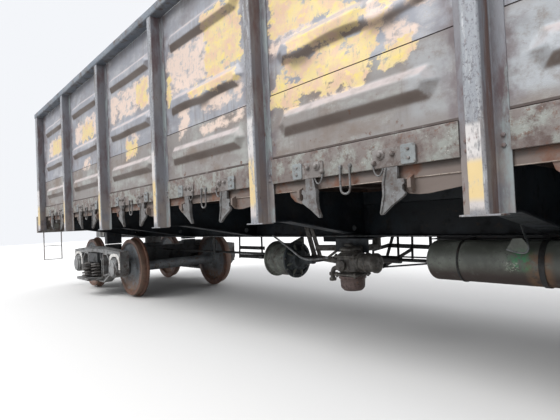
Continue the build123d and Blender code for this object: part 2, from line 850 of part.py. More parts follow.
side_window = [
    (window_side, rail_top + jaw_level),
    (inner_jaw - jaw_wall - window_neck, rail_top + jaw_level + window_neck),
    (inner_jaw - jaw_wall, jaw_roof - window_neck),
    (frame_shoulder, rail_top + window_level - window_margin),
    (window_side, rail_top + window_level - window_margin),
]
windows = [bolster_window, side_window, [(-x, z) for x, z in side_window]]
window_rims = [offset(Polygon(*window, align=None), amount=frame_rim) for window in windows]
with BuildPart() as side_frame:
    with BuildSketch(Plane.XZ.offset(-journal_middle - frame_web / 2)):
        Polygon(*both_hands(frame_half), align=None)
        for window in windows:
            Polygon(*window, align=None, mode=Mode.SUBTRACT)
    extrude(amount=frame_web)
    with BuildSketch(Plane.XZ.offset(-journal_middle - side_frame_gauge / 2)):
        Polygon(*both_hands(frame_half), align=None)
        offset(amount=-frame_rim, kind=Kind.INTERSECTION, mode=Mode.SUBTRACT)
        add(window_rims)
        for window in windows:
            Polygon(*window, align=None, mode=Mode.SUBTRACT)
    extrude(amount=side_frame_gauge)
    with Locations((0, journal_middle, rail_top + spring_seat_level)):
        Box(2 * (spring_window - seat_gap), 2 * (spring_pitch + spring_radius), seat_gauge,
            align=(Align.CENTER, Align.CENTER, Align.MAX))

# Springs: seven upright coils in each nest, as sleeves with a groove between turns
spring_height = bolster_seat_level - spring_seat_level
spring_step = spring_height / spring_turns
spring_crests = []
for turn in range(spring_turns):
    spring_crests.append((spring_radius - spring_groove, turn * spring_step))
    spring_crests.append((spring_radius, (turn + 0.5) * spring_step))
with BuildPart() as spring:
    with BuildSketch(Plane.XZ):
        Polygon((spring_radius - spring_bar, 0), *spring_crests,
                (spring_radius - spring_groove, spring_height),
                (spring_radius - spring_bar, spring_height), align=None)
    revolve(axis=Axis.Z)
# Place of each row along the wagon and the number of springs in it
nest_rows = ((-spring_row, 2), (0, 3), (spring_row, 2))
nest_spots = [(x, journal_middle + spring_pitch * (n - (count - 1) / 2), rail_top + spring_seat_level)
              for x, count in nest_rows for n in range(count)]
with BuildPart() as spring_nest:
    with Locations(*nest_spots):
        add(spring.part)

# Bogie bolster: a fish-bellied box across the bogie with the centre bowl and side bearers
bolster_half = (
    (bolster_belly_y, rail_top + bolster_belly_level),
    (bolster_seat_y, rail_top + bolster_seat_level),
    (bolster_tip, rail_top + bolster_seat_level),
    (bolster_tip, rail_top + bolster_end_level),
    (bolster_shoulder_y, rail_top + bolster_end_level),
    (bolster_crest_y, rail_top + bolster_middle_level),
)
with BuildPart() as bogie_bolster:
    with BuildSketch(Plane.YZ.offset(-bolster_half_width)):
        Polygon(*both_hands(bolster_half), align=None)
    extrude(amount=2 * bolster_half_width)
    with BuildSketch(Plane.XY.offset(rail_top + bolster_middle_level)):
        Circle(bowl_radius)
    extrude(amount=bowl_level - bolster_middle_level)
    with BuildSketch(Plane.XY.offset(rail_top + bowl_floor_level)):
        Circle(bowl_radius - bowl_rim)
    extrude(amount=bowl_level - bowl_floor_level, mode=Mode.SUBTRACT)
    with Locations(*[(0, side * bearer_y, rail_top + bolster_end_level - bearer_root) for side in hands]):
        Box(bearer_width, bearer_length, bearer_level - bolster_end_level + bearer_root,
            align=(Align.CENTER, Align.CENTER, Align.MIN))

# Brake beams between the wheels, each with a shoe on either wheel and a truss behind
shoe_radius = tread_radius + shoe_gap
beam_face = axle_x - shoe_radius - shoe_gauge + brake_beam_sink
truss_root = beam_face - brake_beam
truss_tip = beam_face - truss_depth
truss_outline = (
    (truss_root, -truss_half),
    (truss_root, truss_half),
    (truss_tip - truss_bar, truss_bar),
    (truss_tip - truss_bar, -truss_bar),
)
truss_window = (
    (truss_root, truss_bar - truss_half),
    (truss_root, truss_half - truss_bar),
    (truss_tip, truss_bar),
    (truss_tip, -truss_bar),
)
with BuildPart() as half_brake:
    for side in hands:
        with BuildSketch(Plane.XZ.offset(-side * shoe_middle - shoe_width / 2)):
            with Locations((axle_x, wheel_height)):
                Circle(shoe_radius + shoe_gauge)
                Circle(shoe_radius, mode=Mode.SUBTRACT)
            with Locations((axle_x - shoe_radius, rail_top + brake_beam_level)):
                Rectangle(2 * shoe_radius, shoe_length, mode=Mode.INTERSECT)
        extrude(amount=shoe_width)
    with Locations((beam_face, 0, rail_top + brake_beam_level)):
        Box(brake_beam, 2 * shoe_middle + shoe_width, brake_beam,
            align=(Align.MAX, Align.CENTER, Align.CENTER))
    with BuildSketch(Plane.XY.offset(rail_top + brake_beam_level - truss_bar / 2)):
        Polygon(*truss_outline, align=None)
        Polygon(*truss_window, align=None, mode=Mode.SUBTRACT)
    extrude(amount=truss_bar)
half_brake_mirrored = mirror(half_brake.part, about=Plane.YZ)

box_mirrored = mirror(axle_box.part, about=Plane.XZ)
frame_mirrored = mirror(side_frame.part, about=Plane.XZ)
nest_mirrored = mirror(spring_nest.part, about=Plane.XZ)
for end, name in ends:
    place = end * bogie_base / 2
    with BuildPart() as boxes:
        with Locations((place - axle_x, 0, wheel_height), (place + axle_x, 0, wheel_height)):
            add(axle_box.part)
            add(box_mirrored)
    keep(boxes.part, f"axle_boxes_{name}")
    with BuildPart() as side_frames:
        with Locations((place, 0, 0)):
            add(side_frame.part)
            add(frame_mirrored)
    keep(side_frames.part, f"side_frames_{name}")
    with BuildPart() as springs:
        with Locations((place, 0, 0)):
            add(spring_nest.part)
            add(nest_mirrored)
    keep(springs.part, f"springs_{name}")
    with BuildPart() as brake_beams:
        with Locations((place, 0, 0)):
            add(half_brake.part)
            add(half_brake_mirrored)
    keep(brake_beams.part, f"brake_beams_{name}")
    keep(Pos(place, 0, 0) * bogie_bolster.part, f"bogie_bolster_{name}")

# Couplers: a shank from the sill and a head with a large and a small tooth
neck = half_body + coupler_neck
head = coupler_reach - coupler_neck
# Share of the head's length from its neck, and distance from the coupler's middle
head_table = (
    (0, -80), (0.32, -190), (0.75, -200), (0.75, -130), (0.48, -80), (0.48, 60), (0.66, 110),
    (1, 90), (1, 150), (0.75, 230), (0.27, 210), (0, 80),
)
with BuildPart() as coupler:
    with BuildSketch(Plane.XY.offset(coupler_height - coupler_depth / 2)):
        Polygon(*[(neck + share * head, y) for share, y in head_table], align=None)
    extrude(amount=coupler_depth)
    fillet(coupler.edges().filter_by(Axis.Z), coupler_round)
    with BuildSketch(Plane.XY.offset(coupler_height - shank / 2)):
        with Locations((half_body - shank_sink, 0)):
            Rectangle(shank_length, shank, align=(Align.MIN, Align.CENTER))
    extrude(amount=shank)
with BuildPart() as couplers:
    add(coupler.part)
    add(coupler.part.rotate(Axis.Z, 180))
keep(couplers.part, "couplers")

# Uncoupling levers: a bar along each end beam, its handle hanging at the corner
lever_from = half_body + lever_stand
lever_height = floor_top - lever_drop
lever_start = sill_half + striker_wall
lever_reach = half_inner - lever_inset
with BuildPart() as uncoupling_lever:
    with BuildLine():
        FilletPolyline(
            (lever_from, -lever_start, lever_height),
            (lever_from, -lever_reach, lever_height),
            (lever_from, -lever_reach, lever_height - lever_handle),
            radius=3 * lever_radius,
        )
    with BuildSketch(Plane((lever_from, -lever_start, lever_height), x_dir=(1, 0, 0), z_dir=(0, -1, 0))):
        Circle(lever_radius)
    sweep()
    bracket_spots = (lever_start + lever_bracket, lever_reach - 3 * lever_bracket)
    with Locations(*[(half_body, -y, lever_height) for y in bracket_spots]):
        Box(lever_stand + 2 * lever_radius, lever_bracket, 4 * lever_radius,
            align=(Align.MIN, Align.CENTER, Align.CENTER))
with BuildPart() as uncoupling_levers:
    add(uncoupling_lever.part)
    add(uncoupling_lever.part.rotate(Axis.Z, 180))
keep(uncoupling_levers.part, "uncoupling_levers")

# Steps under the end beam and a ladder on the end wall, at two opposite corners
beam_bottom = floor_top - end_beam_drop
step_x = half_body - end_beam_depth / 2
step_y = half_inner - step_inset
step_foot = rail_top + step_level
ladder_x = wall_end + ladder_stand
ladder_y = half_inner - ladder_inset
ladder_foot = rail_top + ladder_foot_level
ladder_length = ladder_pitch * (ladder_rungs - 1) + 2 * step_bar
with BuildPart() as corner_steps:
    with Locations(*[(step_x, step_y + hand * step_width / 2, beam_bottom) for hand in hands]):
        Box(step_bar, step_gauge, beam_bottom - step_foot, align=(Align.CENTER, Align.CENTER, Align.MAX))
    with Locations(*[(step_x, step_y, step_foot + n * step_pitch) for n in range(2)]):
        Box(step_tread, step_width, step_gauge, align=(Align.CENTER, Align.CENTER, Align.MIN))
    for hand in hands:
        rail_y = ladder_y + hand * ladder_width / 2
        with Locations((ladder_x, rail_y, ladder_foot)):
            Box(step_bar, step_gauge, ladder_length, align=(Align.CENTER, Align.CENTER, Align.MIN))
        foot_heights = (ladder_foot, ladder_foot + ladder_length - step_bar)
        with Locations(*[(wall_end, rail_y, z) for z in foot_heights]):
            Box(ladder_stand, step_gauge, step_bar, align=(Align.MIN, Align.CENTER, Align.MIN))
    rung_heights = [ladder_foot + step_bar + n * ladder_pitch for n in range(ladder_rungs)]
    with Locations(*[(ladder_x, ladder_y, z) for z in rung_heights]):
        Cylinder(rung_radius, ladder_width, rotation=(90, 0, 0))
with BuildPart() as steps_and_ladders:
    add(corner_steps.part)
    add(corner_steps.part.rotate(Axis.Z, 180))
keep(steps_and_ladders.part, "steps_and_ladders")

# Brake cylinder: a drum between two flanges, its neck and rod, and a bracket on the sill
cylinder_height = rail_top + cylinder_level
rod_end = lever_x - lever_width / 2
# Start and end along the wagon, and radius
cylinder_table = (
    (-cylinder_half, cylinder_half, cylinder_drum),
    (-cylinder_half, cylinder_flange - cylinder_half, cylinder_radius),
    (cylinder_half - cylinder_flange, cylinder_half, cylinder_radius),
    (cylinder_half, cylinder_half + cylinder_neck, cylinder_neck_radius),
    (cylinder_half, rod_end, cylinder_rod),
)
with BuildPart() as brake_cylinder:
    for start, stop, radius in cylinder_table:
        with BuildSketch(Plane.YZ.offset(start)):
            with Locations((cylinder_y, cylinder_height)):
                Circle(radius)
        extrude(amount=stop - start)
    with BuildSketch(Plane.YZ.offset(-bracket_plate / 2)):
        Polygon(
            (-sill_half - bracket_inset, sill_bottom),
            (cylinder_y - 2 * bracket_half, cylinder_height + bracket_rise),
            (cylinder_y - bracket_half, cylinder_height),
            (cylinder_y + bracket_half, cylinder_height),
            (-sill_half - bracket_inset, cylinder_height + bracket_rise),
            align=None,
        )
    extrude(amount=bracket_plate)
keep(brake_cylinder.part, "brake_cylinder")

# Air reservoir with rounded ends, hung from two straps
reservoir_from = post_spots[-2] - reservoir_offset
reservoir_to = reservoir_from + reservoir_length
reservoir_height = rail_top + reservoir_level
with BuildPart() as air_reservoir:
    with BuildSketch(Plane.YZ.offset(reservoir_from)):
        with Locations((reservoir_y, reservoir_height)):
            Circle(reservoir_radius)
    extrude(amount=reservoir_length)
    fillet(air_reservoir.edges().filter_by(GeomType.CIRCLE), reservoir_round)
    for x in (reservoir_from + strap_margin, reservoir_to - strap_margin):
        with BuildSketch(Plane.YZ.offset(x - strap_width / 2)):
            with Locations((reservoir_y, reservoir_height)):
                Circle(reservoir_radius + strap_gauge)
            Polygon(
                (-sill_half - sill_flange, sill_bottom),
                (-sill_half, sill_bottom),
                (reservoir_y + reservoir_radius, reservoir_height),
                (reservoir_y, reservoir_height + reservoir_radius),
                align=None,
            )
        extrude(amount=strap_width)
keep(air_reservoir.part, "air_reservoir")

# Air distributor: a block with a drum below and one at its side, hung from the sill
valve_x = post_spots[-3] + valve_offset
valve_low = rail_top + valve_level
valve_foot = valve_low + bucket_height
valve_top = valve_foot + valve_height
arm_inner = -sill_half - valve_arm
with BuildPart() as air_distributor:
    with Locations((valve_x, valve_y, valve_foot)):
        Box(valve_width, valve_depth, valve_height, align=(Align.CENTER, Align.CENTER, Align.MIN))
    with BuildSketch(Plane.XY.offset(valve_low)):
        with Locations((valve_x, valve_y)):
            Circle(bucket_radius)
    extrude(amount=bucket_height)
    with BuildSketch(Plane.YZ.offset(valve_x)):
        with Locations((valve_y, valve_low + valve_drum_rise)):
            Circle(valve_drum_radius)
    extrude(amount=valve_drum_length)
    with Locations((valve_x, valve_y, valve_top)):
        Box(valve_arm, arm_inner + valve_arm - valve_y, valve_arm, align=(Align.CENTER, Align.MIN, Align.MAX))
    with Locations((valve_x, arm_inner, sill_bottom)):
        Box(valve_arm, valve_arm, sill_bottom - valve_top + valve_arm,
            align=(Align.CENTER, Align.MIN, Align.MAX))
keep(air_distributor.part, "air_distributor")

# Brake rods: two levers joined by a tie rod, and a main rod from each to its bogie
lever_outer = cylinder_y - lever_overhang
lever_inner = main_rod_y + lever_overhang
rod_tip = bogie_base / 2 - main_rod_gap
hanger_foot = cylinder_height - main_rod
# Start and end along the wagon, place across it and radius
rod_table = (
    (-lever_x, lever_x, tie_rod_y, main_rod),
    (-rod_tip, -lever_x, main_rod_y, main_rod),
    (lever_x, rod_tip, main_rod_y, main_rod),
    (lever_x + lever_width, lever_x + lever_width + slack_adjuster_length, main_rod_y, slack_adjuster),
)
with BuildPart() as brake_rods:
    with Locations(*[(hand * lever_x, (lever_outer + lever_inner) / 2, cylinder_height) for hand in hands]):
        Box(lever_width, lever_inner - lever_outer, lever_gauge)
    for start, stop, y, radius in rod_table:
        with BuildSketch(Plane.YZ.offset(start)):
            with Locations((y, cylinder_height)):
                Circle(radius)
        extrude(amount=stop - start)
    with Locations(*[(hand * hanger_pitch, -sill_half, hanger_foot) for hand in hands]):
        hanger_align = (Align.CENTER, Align.MIN, Align.MIN)
        Box(hanger_width, sill_half + main_rod_y + main_rod, 2 * main_rod, align=hanger_align)
        Box(hanger_width, main_rod, sill_bottom - hanger_foot, align=hanger_align)
keep(brake_rods.part, "brake_rods")

# Brake pipe along the wagon, through the webs of the cross beams
pipe_length = 2 * (half_body - end_beam_depth - pipe_end_gap)
with BuildPart() as brake_pipe:
    with Locations((0, pipe_y, pipe_height)):
        Cylinder(pipe_radius, pipe_length, rotation=(0, 90, 0))
keep(brake_pipe.part, "brake_pipe")
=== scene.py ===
# %% [markdown]
# # An old open gondola wagon, dressed around its construction model
# The wagon is welded from hot-rolled steel: pressed wall sheets, hat-section posts, a latch gear of
# castings under the lower chord, and two cast bogies. The construction model brings every solid at its
# real place. This lesson puts worn surfaces on it, piece by piece, in metres, and never moves the model.

import json
import math

import bmesh
import bpy
import numpy as np
from mathutils import Matrix, Vector


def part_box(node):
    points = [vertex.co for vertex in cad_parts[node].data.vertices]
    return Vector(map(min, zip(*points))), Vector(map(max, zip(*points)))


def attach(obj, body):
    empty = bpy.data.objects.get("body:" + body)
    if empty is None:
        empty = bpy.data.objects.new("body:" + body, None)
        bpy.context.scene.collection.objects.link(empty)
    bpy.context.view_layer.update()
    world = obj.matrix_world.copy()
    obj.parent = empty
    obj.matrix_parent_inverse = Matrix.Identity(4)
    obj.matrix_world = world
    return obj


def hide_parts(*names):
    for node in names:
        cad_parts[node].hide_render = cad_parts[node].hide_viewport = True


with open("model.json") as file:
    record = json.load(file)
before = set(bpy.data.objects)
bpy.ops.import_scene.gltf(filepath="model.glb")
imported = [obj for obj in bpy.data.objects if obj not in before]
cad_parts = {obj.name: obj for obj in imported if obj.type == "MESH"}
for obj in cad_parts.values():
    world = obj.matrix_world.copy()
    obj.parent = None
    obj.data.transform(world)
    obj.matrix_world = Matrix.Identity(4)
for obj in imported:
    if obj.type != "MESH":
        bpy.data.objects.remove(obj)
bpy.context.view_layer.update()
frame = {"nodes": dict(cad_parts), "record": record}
bodies = frame["record"]["behaviour"]["bodies"]
body_of_node = {node: body for body, nodes in bodies.items() for node in nodes}

# %% [markdown]
# ## Sizes
# The scene takes its sizes from the construction: the boxes of its nodes, and the few numbers that a
# box can't tell. Everything here is in metres, with Z up and the rail's top a little above zero.

# %% Body sizes, in metres, as the construction has them
bay = 1.730
bay_count = 7
bay_spots = [bay * (n - (bay_count - 1) / 2) for n in range(bay_count)]
post_spots = [bay * (n - (bay_count - 1) / 2 - 0.5) for n in range(1, bay_count)]
wall_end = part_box("side_wall_left")[1].x
wall_foot, wall_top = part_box("side_wall_left")[0].z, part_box("side_wall_left")[1].z

# Distances from the wagon's middle, or a bay's for post_edge, and two sizes of the posts' hat section
half_inner = 1.445
sheet = 0.006
half_outer = half_inner + sheet
post_flange = 0.248
post_edge = (bay - post_flange) / 2
post_depth = 0.116
post_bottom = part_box("posts")[0].z
half_width = half_outer + post_depth
hatch_edge = 1.440
hatch_row_end = 5.966
half_inside = 6.059

# Heights
rail_top = 0.028
seam = rail_top + 2.083
pressing_heights = (rail_top + 1.838, rail_top + 2.375, rail_top + 3.040)
chord_bottom, chord_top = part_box("lower_chords")[0].z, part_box("lower_chords")[1].z
sides = ((-1, "left"), (1, "right"))
print("posts on a side", len(post_spots), "wall from", round(wall_foot, 3), "to", round(wall_top, 3))

# %% [markdown]
# ## Camera
# The wagon was seen by somebody who stood two metres from its side and looked along it. A camera is
# a matrix: its columns are the right, up and backward directions. We build them from the three angles
# turn, rise and roll, because those can be read off a photograph's converging lines.

# %% Camera from its place and three angles
camera_place = Vector((3.478, -3.613, 1.144))
camera_turn = 0.8445
camera_rise = 0.0244
camera_roll = -0.045
lens_mm = 27.31

forward = Vector((-math.sin(camera_turn) * math.cos(camera_rise),
                  math.cos(camera_turn) * math.cos(camera_rise),
                  math.sin(camera_rise)))
level = Vector((math.cos(camera_turn), math.sin(camera_turn), 0))
upright = level.cross(forward)
right = math.cos(camera_roll) * level + math.sin(camera_roll) * upright
up = -math.sin(camera_roll) * level + math.cos(camera_roll) * upright

camera_data = bpy.data.cameras.new("camera")
camera_data.lens = lens_mm
camera_data.sensor_width = 36
camera_data.clip_start = 0.05
camera = bpy.data.objects.new("camera", camera_data)
camera.matrix_world = Matrix((right, up, -forward)).transposed().to_4x4()
camera.matrix_world.translation = camera_place
bpy.context.scene.collection.objects.link(camera)
bpy.context.scene.camera = camera
print("camera looks along", [round(v, 3) for v in forward])

# %% [markdown]
# ## One helper for shader nodes
# A material is a small graph. One helper adds a node, sets its properties and fills its inputs, so
# each finish below reads as a recipe. Colours are written as sRGB hex values, as a painter's chart
# gives them, and turned to the linear light values that the renderer works with.

# %% Colour and node helpers
def linear(hex_colour):
    """sRGB to linear light: each channel is divided by 12.92 in the darks, else raised to the 2.4."""
    channels = np.array([int(hex_colour[i:i + 2], 16) / 255 for i in (1, 3, 5)])
    light = np.where(channels <= 0.04045, channels / 12.92, ((channels + 0.055) / 1.055) ** 2.4)
    return (*light.tolist(), 1.0)


def add(tree, kind, inputs=None, **settings):
    """Adds a node, sets its properties and fills its inputs: sockets are linked, values are set."""
    made = tree.nodes.new(kind)
    for name, value in settings.items():
        setattr(made, name, value)
    for key, value in (inputs or {}).items():
        if isinstance(value, bpy.types.NodeSocket):
            tree.links.new(value, made.inputs[key])
        else:
            made.inputs[key].default_value = value
    return made


# %% Patterns shared by the steel finishes
# A socket knows its tree by the name id_data, so these helpers need only sockets
def blotches(place, size, window, stretch=(1, 1, 1), detail=5.0, ragged=0.6, shift=0.0):
    """A mask of blotches about size metres wide: noise, cut softly between two of its values.

    Stretch lengthens the blotches along an axis, and a window low in the noise covers more."""
    tree = place.id_data
    scaled = add(tree, "ShaderNodeMapping", {
        "Vector": place, "Location": (shift, shift, shift),
        "Scale": tuple(1 / (size * along) for along in stretch)})
    noise = add(tree, "ShaderNodeTexNoise", {
        "Vector": scaled.outputs[0], "Scale": 1.0, "Detail": detail, "Roughness": ragged})
    return cut(noise.outputs["Fac"], *window)


def cut(value, low, high):
    """Rises softly from 0 at the low value to 1 at the high one. A high below the low makes it fall."""
    return add(value.id_data, "ShaderNodeMapRange", {"Value": value, "From Min": low, "From Max": high},
               interpolation_type="SMOOTHSTEP").outputs["Result"]


def product(*masks):
    """The masks multiplied, so that the result shows only where all of them do."""
    result = masks[0]
    for mask in masks[1:]:
        multiplied = add(mask.id_data, "ShaderNodeMath", {0: result, 1: mask}, operation="MULTIPLY")
        result = multiplied.outputs[0]
    return result


def thinned(mask, share=1.0):
    """1 less a share of a mask: a coat multiplied by it grows thin, or ends, where the mask shows."""
    rest = add(mask.id_data, "ShaderNodeMath", {0: mask, 1: -share, 2: 1.0}, operation="MULTIPLY_ADD")
    return rest.outputs[0]


def coats(ground, layers):
    """Colour of a surface under several coats, each a hex colour and a mask, the last one on top."""
    colour = linear(ground)
    for hex_colour, mask in layers:
        inputs = {0: mask, 6: colour, 7: linear(hex_colour)}
        mixed = add(mask.id_data, "ShaderNodeMix", inputs, data_type="RGBA")
        colour = mixed.outputs[2]
    return colour


def band(coordinate, low, high, soft):
    """A mask that is 1 between two values of a coordinate and fades over a soft distance outside."""
    return product(cut(coordinate, low - soft, low), cut(coordinate, high + soft, high))


def patch(axes, along, up):
    """A soft rectangle on a side: a band along X times a band up Z, each as low, high and soft edge."""
    return product(band(axes["X"], *along), band(axes["Z"], *up))


def outwards(axes):
    """Distance from the wagon's long middle plane, which is Y without its sign."""
    return add(axes["Y"].id_data, "ShaderNodeMath", {0: axes["Y"]}, operation="ABSOLUTE").outputs[0]


def in_bay(axes):
    """Place along a bay: X wrapped, from minus half a bay at one post to plus half at the next."""
    inputs = {0: axes["X"], 1: bay / 2, 2: -bay / 2}
    return add(axes["X"].id_data, "ShaderNodeMath", inputs, operation="WRAP").outputs[0]


def old_paint(label, noise, low, high):
    """Where old paint still holds: the strength numpy wrote plus a strong noise, cut between two values."""
    tree, noise_share = noise.id_data, 0.95
    strength = add(tree, "ShaderNodeAttribute", attribute_name=label).outputs["Fac"]
    both = add(tree, "ShaderNodeMath", {0: noise, 1: noise_share, 2: strength}, operation="MULTIPLY_ADD")
    return cut(both.outputs[0], low, high)


def start_finish(name):
    """An empty material: returns it with its shader, the place on the object and that place's X, Y and Z."""
    material = bpy.data.materials.new(name)
    material.use_nodes = True
    tree = material.node_tree
    shader = tree.nodes["Principled BSDF"]
    place = add(tree, "ShaderNodeTexCoord").outputs["Object"]
    axes = add(tree, "ShaderNodeSeparateXYZ", {"Vector": place}).outputs
    return material, shader, place, axes


def surface(shader, colour, roughness, relief, metallic=0.0, soft_edge=0.0):
    """Feeds the shader: a colour, a roughness from mask to range, and a bump from (height, depth) pairs."""
    tree = shader.id_data
    tree.links.new(colour, shader.inputs["Base Color"])
    shader.inputs["Metallic"].default_value = metallic
    mask, smooth, rough = roughness
    spread = add(tree, "ShaderNodeMapRange", {"Value": mask, "To Min": smooth, "To Max": rough})
    tree.links.new(spread.outputs["Result"], shader.inputs["Roughness"])
    normal = None
    if soft_edge:
        normal = add(tree, "ShaderNodeBevel", {"Radius": soft_edge}, samples=4).outputs["Normal"]
    for height, depth in relief:
        inputs = {"Height": height, "Distance": depth, "Strength": 1.0}
        if normal is not None:
            inputs["Normal"] = normal
        normal = add(tree, "ShaderNodeBump", inputs).outputs["Normal"]
    if normal is not None:
        tree.links.new(normal, shader.inputs["Normal"])


print("white in linear light", linear("#ffffff"))

# %% [markdown]
# ## Steel finishes
# The walls were painted long ago. What is left is a chalky blue-grey film, brown where rust has come
# through, with streaks that rain drew down it and pale worn patches of yellow paint. Paint and rust
# are not metallic to the eye, so metallic stays low and the roughness high.

# %% Wall sheet: hot-rolled steel under chalked paint
def wall_finish():
    """Rain streaks are noise stretched along Z; yellow and peach paint hold where numpy has put them.

    Lean is the slope of the sheet: what faces up is painted pale, as dust and as painted light from above,
    and what faces down is painted brown, as painted shade."""
    material, shader, place, axes = start_finish("chalked paint on hot-rolled sheet")
    # The film itself: broad tones, brown stains, rain streaks, pale areas, specks, and a cooler upper sheet
    broad = blotches(place, 0.50, (0.36, 0.66), detail=4, shift=3)
    brown = blotches(place, 0.30, (0.46, 0.70), stretch=(1.5, 1, 0.9), detail=7, ragged=0.62, shift=9)
    streak = blotches(place, 0.030, (0.46, 0.74), stretch=(1, 1, 22), detail=4, shift=5)
    pale = blotches(place, 0.22, (0.48, 0.68), stretch=(1.6, 1, 0.8), detail=6, ragged=0.6, shift=21)
    speck = blotches(place, 0.014, (0.50, 0.70), detail=3, shift=2)
    upper = cut(axes["Z"], seam - 0.003, seam + 0.003)
    cool = product(blotches(place, 0.55, (0.42, 0.58), stretch=(1.4, 1, 1), detail=4, shift=81),
                   cut(axes["X"], 1.4, 3.2))

    # Dust with painted light on what faces up and painted shade on what faces down, by the slope of the
    # sheet, and the inner skin, both written by numpy
    tree = place.id_data
    lean = add(tree, "ShaderNodeAttribute", attribute_name="lean").outputs["Fac"]
    inside = add(tree, "ShaderNodeAttribute", attribute_name="inner_skin").outputs["Fac"]
    dusty = product(cut(lean, -0.15, -0.75), blotches(place, 0.15, (0.20, 0.60), shift=61))
    underside_shade = product(cut(lean, 0.10, 0.62), blotches(place, 0.15, (0.05, 0.45), shift=66))

    # Marks with a place: beside the posts, low on the sheet, painted shade in the gap over the lower chord
    # and a painted shadow along the seam
    on_side = cut(outwards(axes), hatch_edge, hatch_edge + 0.003)
    from_middle = add(tree, "ShaderNodeMath", {0: in_bay(axes)}, operation="ABSOLUTE").outputs[0]
    by_post = product(cut(from_middle, 0.60, 0.735), on_side,
                      blotches(place, 0.16, (0.36, 0.60), shift=44))
    near_post, far_post = band(axes["X"], 2.76, 2.96, 0.10), band(axes["X"], 2.24, 2.42, 0.08)
    both_posts = add(tree, "ShaderNodeMath", {0: far_post, 1: 0.55, 2: near_post}, operation="MULTIPLY_ADD")
    by_near_post = product(both_posts.outputs[0], band(axes["Z"], 1.72, 2.06, 0.08),
                           blotches(place, 0.07, (0.30, 0.56), detail=7, ragged=0.7, shift=83))
    low_rust = product(cut(axes["Z"], 2.3, 1.6),
                       blotches(place, 0.09, (0.60, 0.70), detail=8, ragged=0.7, shift=31))
    gap = product(band(axes["Z"], chord_top - 0.012, chord_top + 0.011, 0.004), on_side,
                  blotches(place, 0.05, (0.22, 0.46), stretch=(2, 1, 1), shift=77))
    lap = product(band(axes["Z"], seam + 0.0005, seam + 0.0075, 0.0008), on_side, thinned(inside))

    # Old paint: ragged at its edges, flaked in small upright spots, and of three tones
    edge_noise = blotches(place, 0.13, (0.30, 0.70), stretch=(1.5, 1, 0.9), detail=8, ragged=0.66, shift=14.2)
    flaked = blotches(place, 0.032, (0.54, 0.66), stretch=(1, 1, 2.6), detail=7, ragged=0.72, shift=8)
    holds = thinned(flaked, 0.7)
    yellow = product(old_paint("yellow_paint", edge_noise, 0.98, 1.20), holds)
    peach = product(old_paint("peach_paint", edge_noise, 0.98, 1.50), holds)
    mottle = blotches(place, 0.13, (0.40, 0.62), detail=6, ragged=0.66, shift=51)
    bright = blotches(place, 0.06, (0.52, 0.68), stretch=(1.4, 1, 1), detail=5, ragged=0.6, shift=71)

    colour = coats("#928d8a", [
        ("#9aa0a5", cool), ("#9799a1", upper), ("#a9acb5", product(broad, upper)),
        ("#a3a19f", product(broad, pale)), ("#a9aba7", product(pale, thinned(upper))),
        ("#897d75", product(brown, thinned(upper, 0.6))), ("#b7b9bf", product(pale, upper)),
        ("#807975", product(streak, broad)), ("#aeaaa7", product(speck, pale)),
        ("#b0b4b8", by_near_post), ("#7b7274", by_post),
        ("#e8d3c5", peach), ("#e9d498", yellow), ("#e2c1a8", product(yellow, mottle)),
        ("#efd986", product(yellow, bright)),
        # Dusty is dust and painted light on what faces up; the brown after it is painted shade on what faces
        # down
        ("#bfb4b2", dusty), ("#70655f", product(underside_shade, thinned(yellow, 0.4))),
        # The gap and lap coats are painted shade: a dark band in the gap over the chord, and a painted shadow
        # in the seam's groove
        ("#6b4634", low_rust), ("#554a46", gap), ("#4b4240", lap),
        ("#5f4b41", inside), ("#7d6d63", product(inside, streak)),
        ("#4a3830", product(inside, brown))])
    grain = blotches(place, 0.004, (0.3, 0.8), detail=2)
    surface(shader, colour, (brown, 0.48, 0.8), [(brown, 0.0012), (grain, 0.0004)], metallic=0.1)
    return material


finishes = {"wall_sheet": wall_finish()}
print("nodes in the wall finish", len(finishes["wall_sheet"].node_tree.nodes))

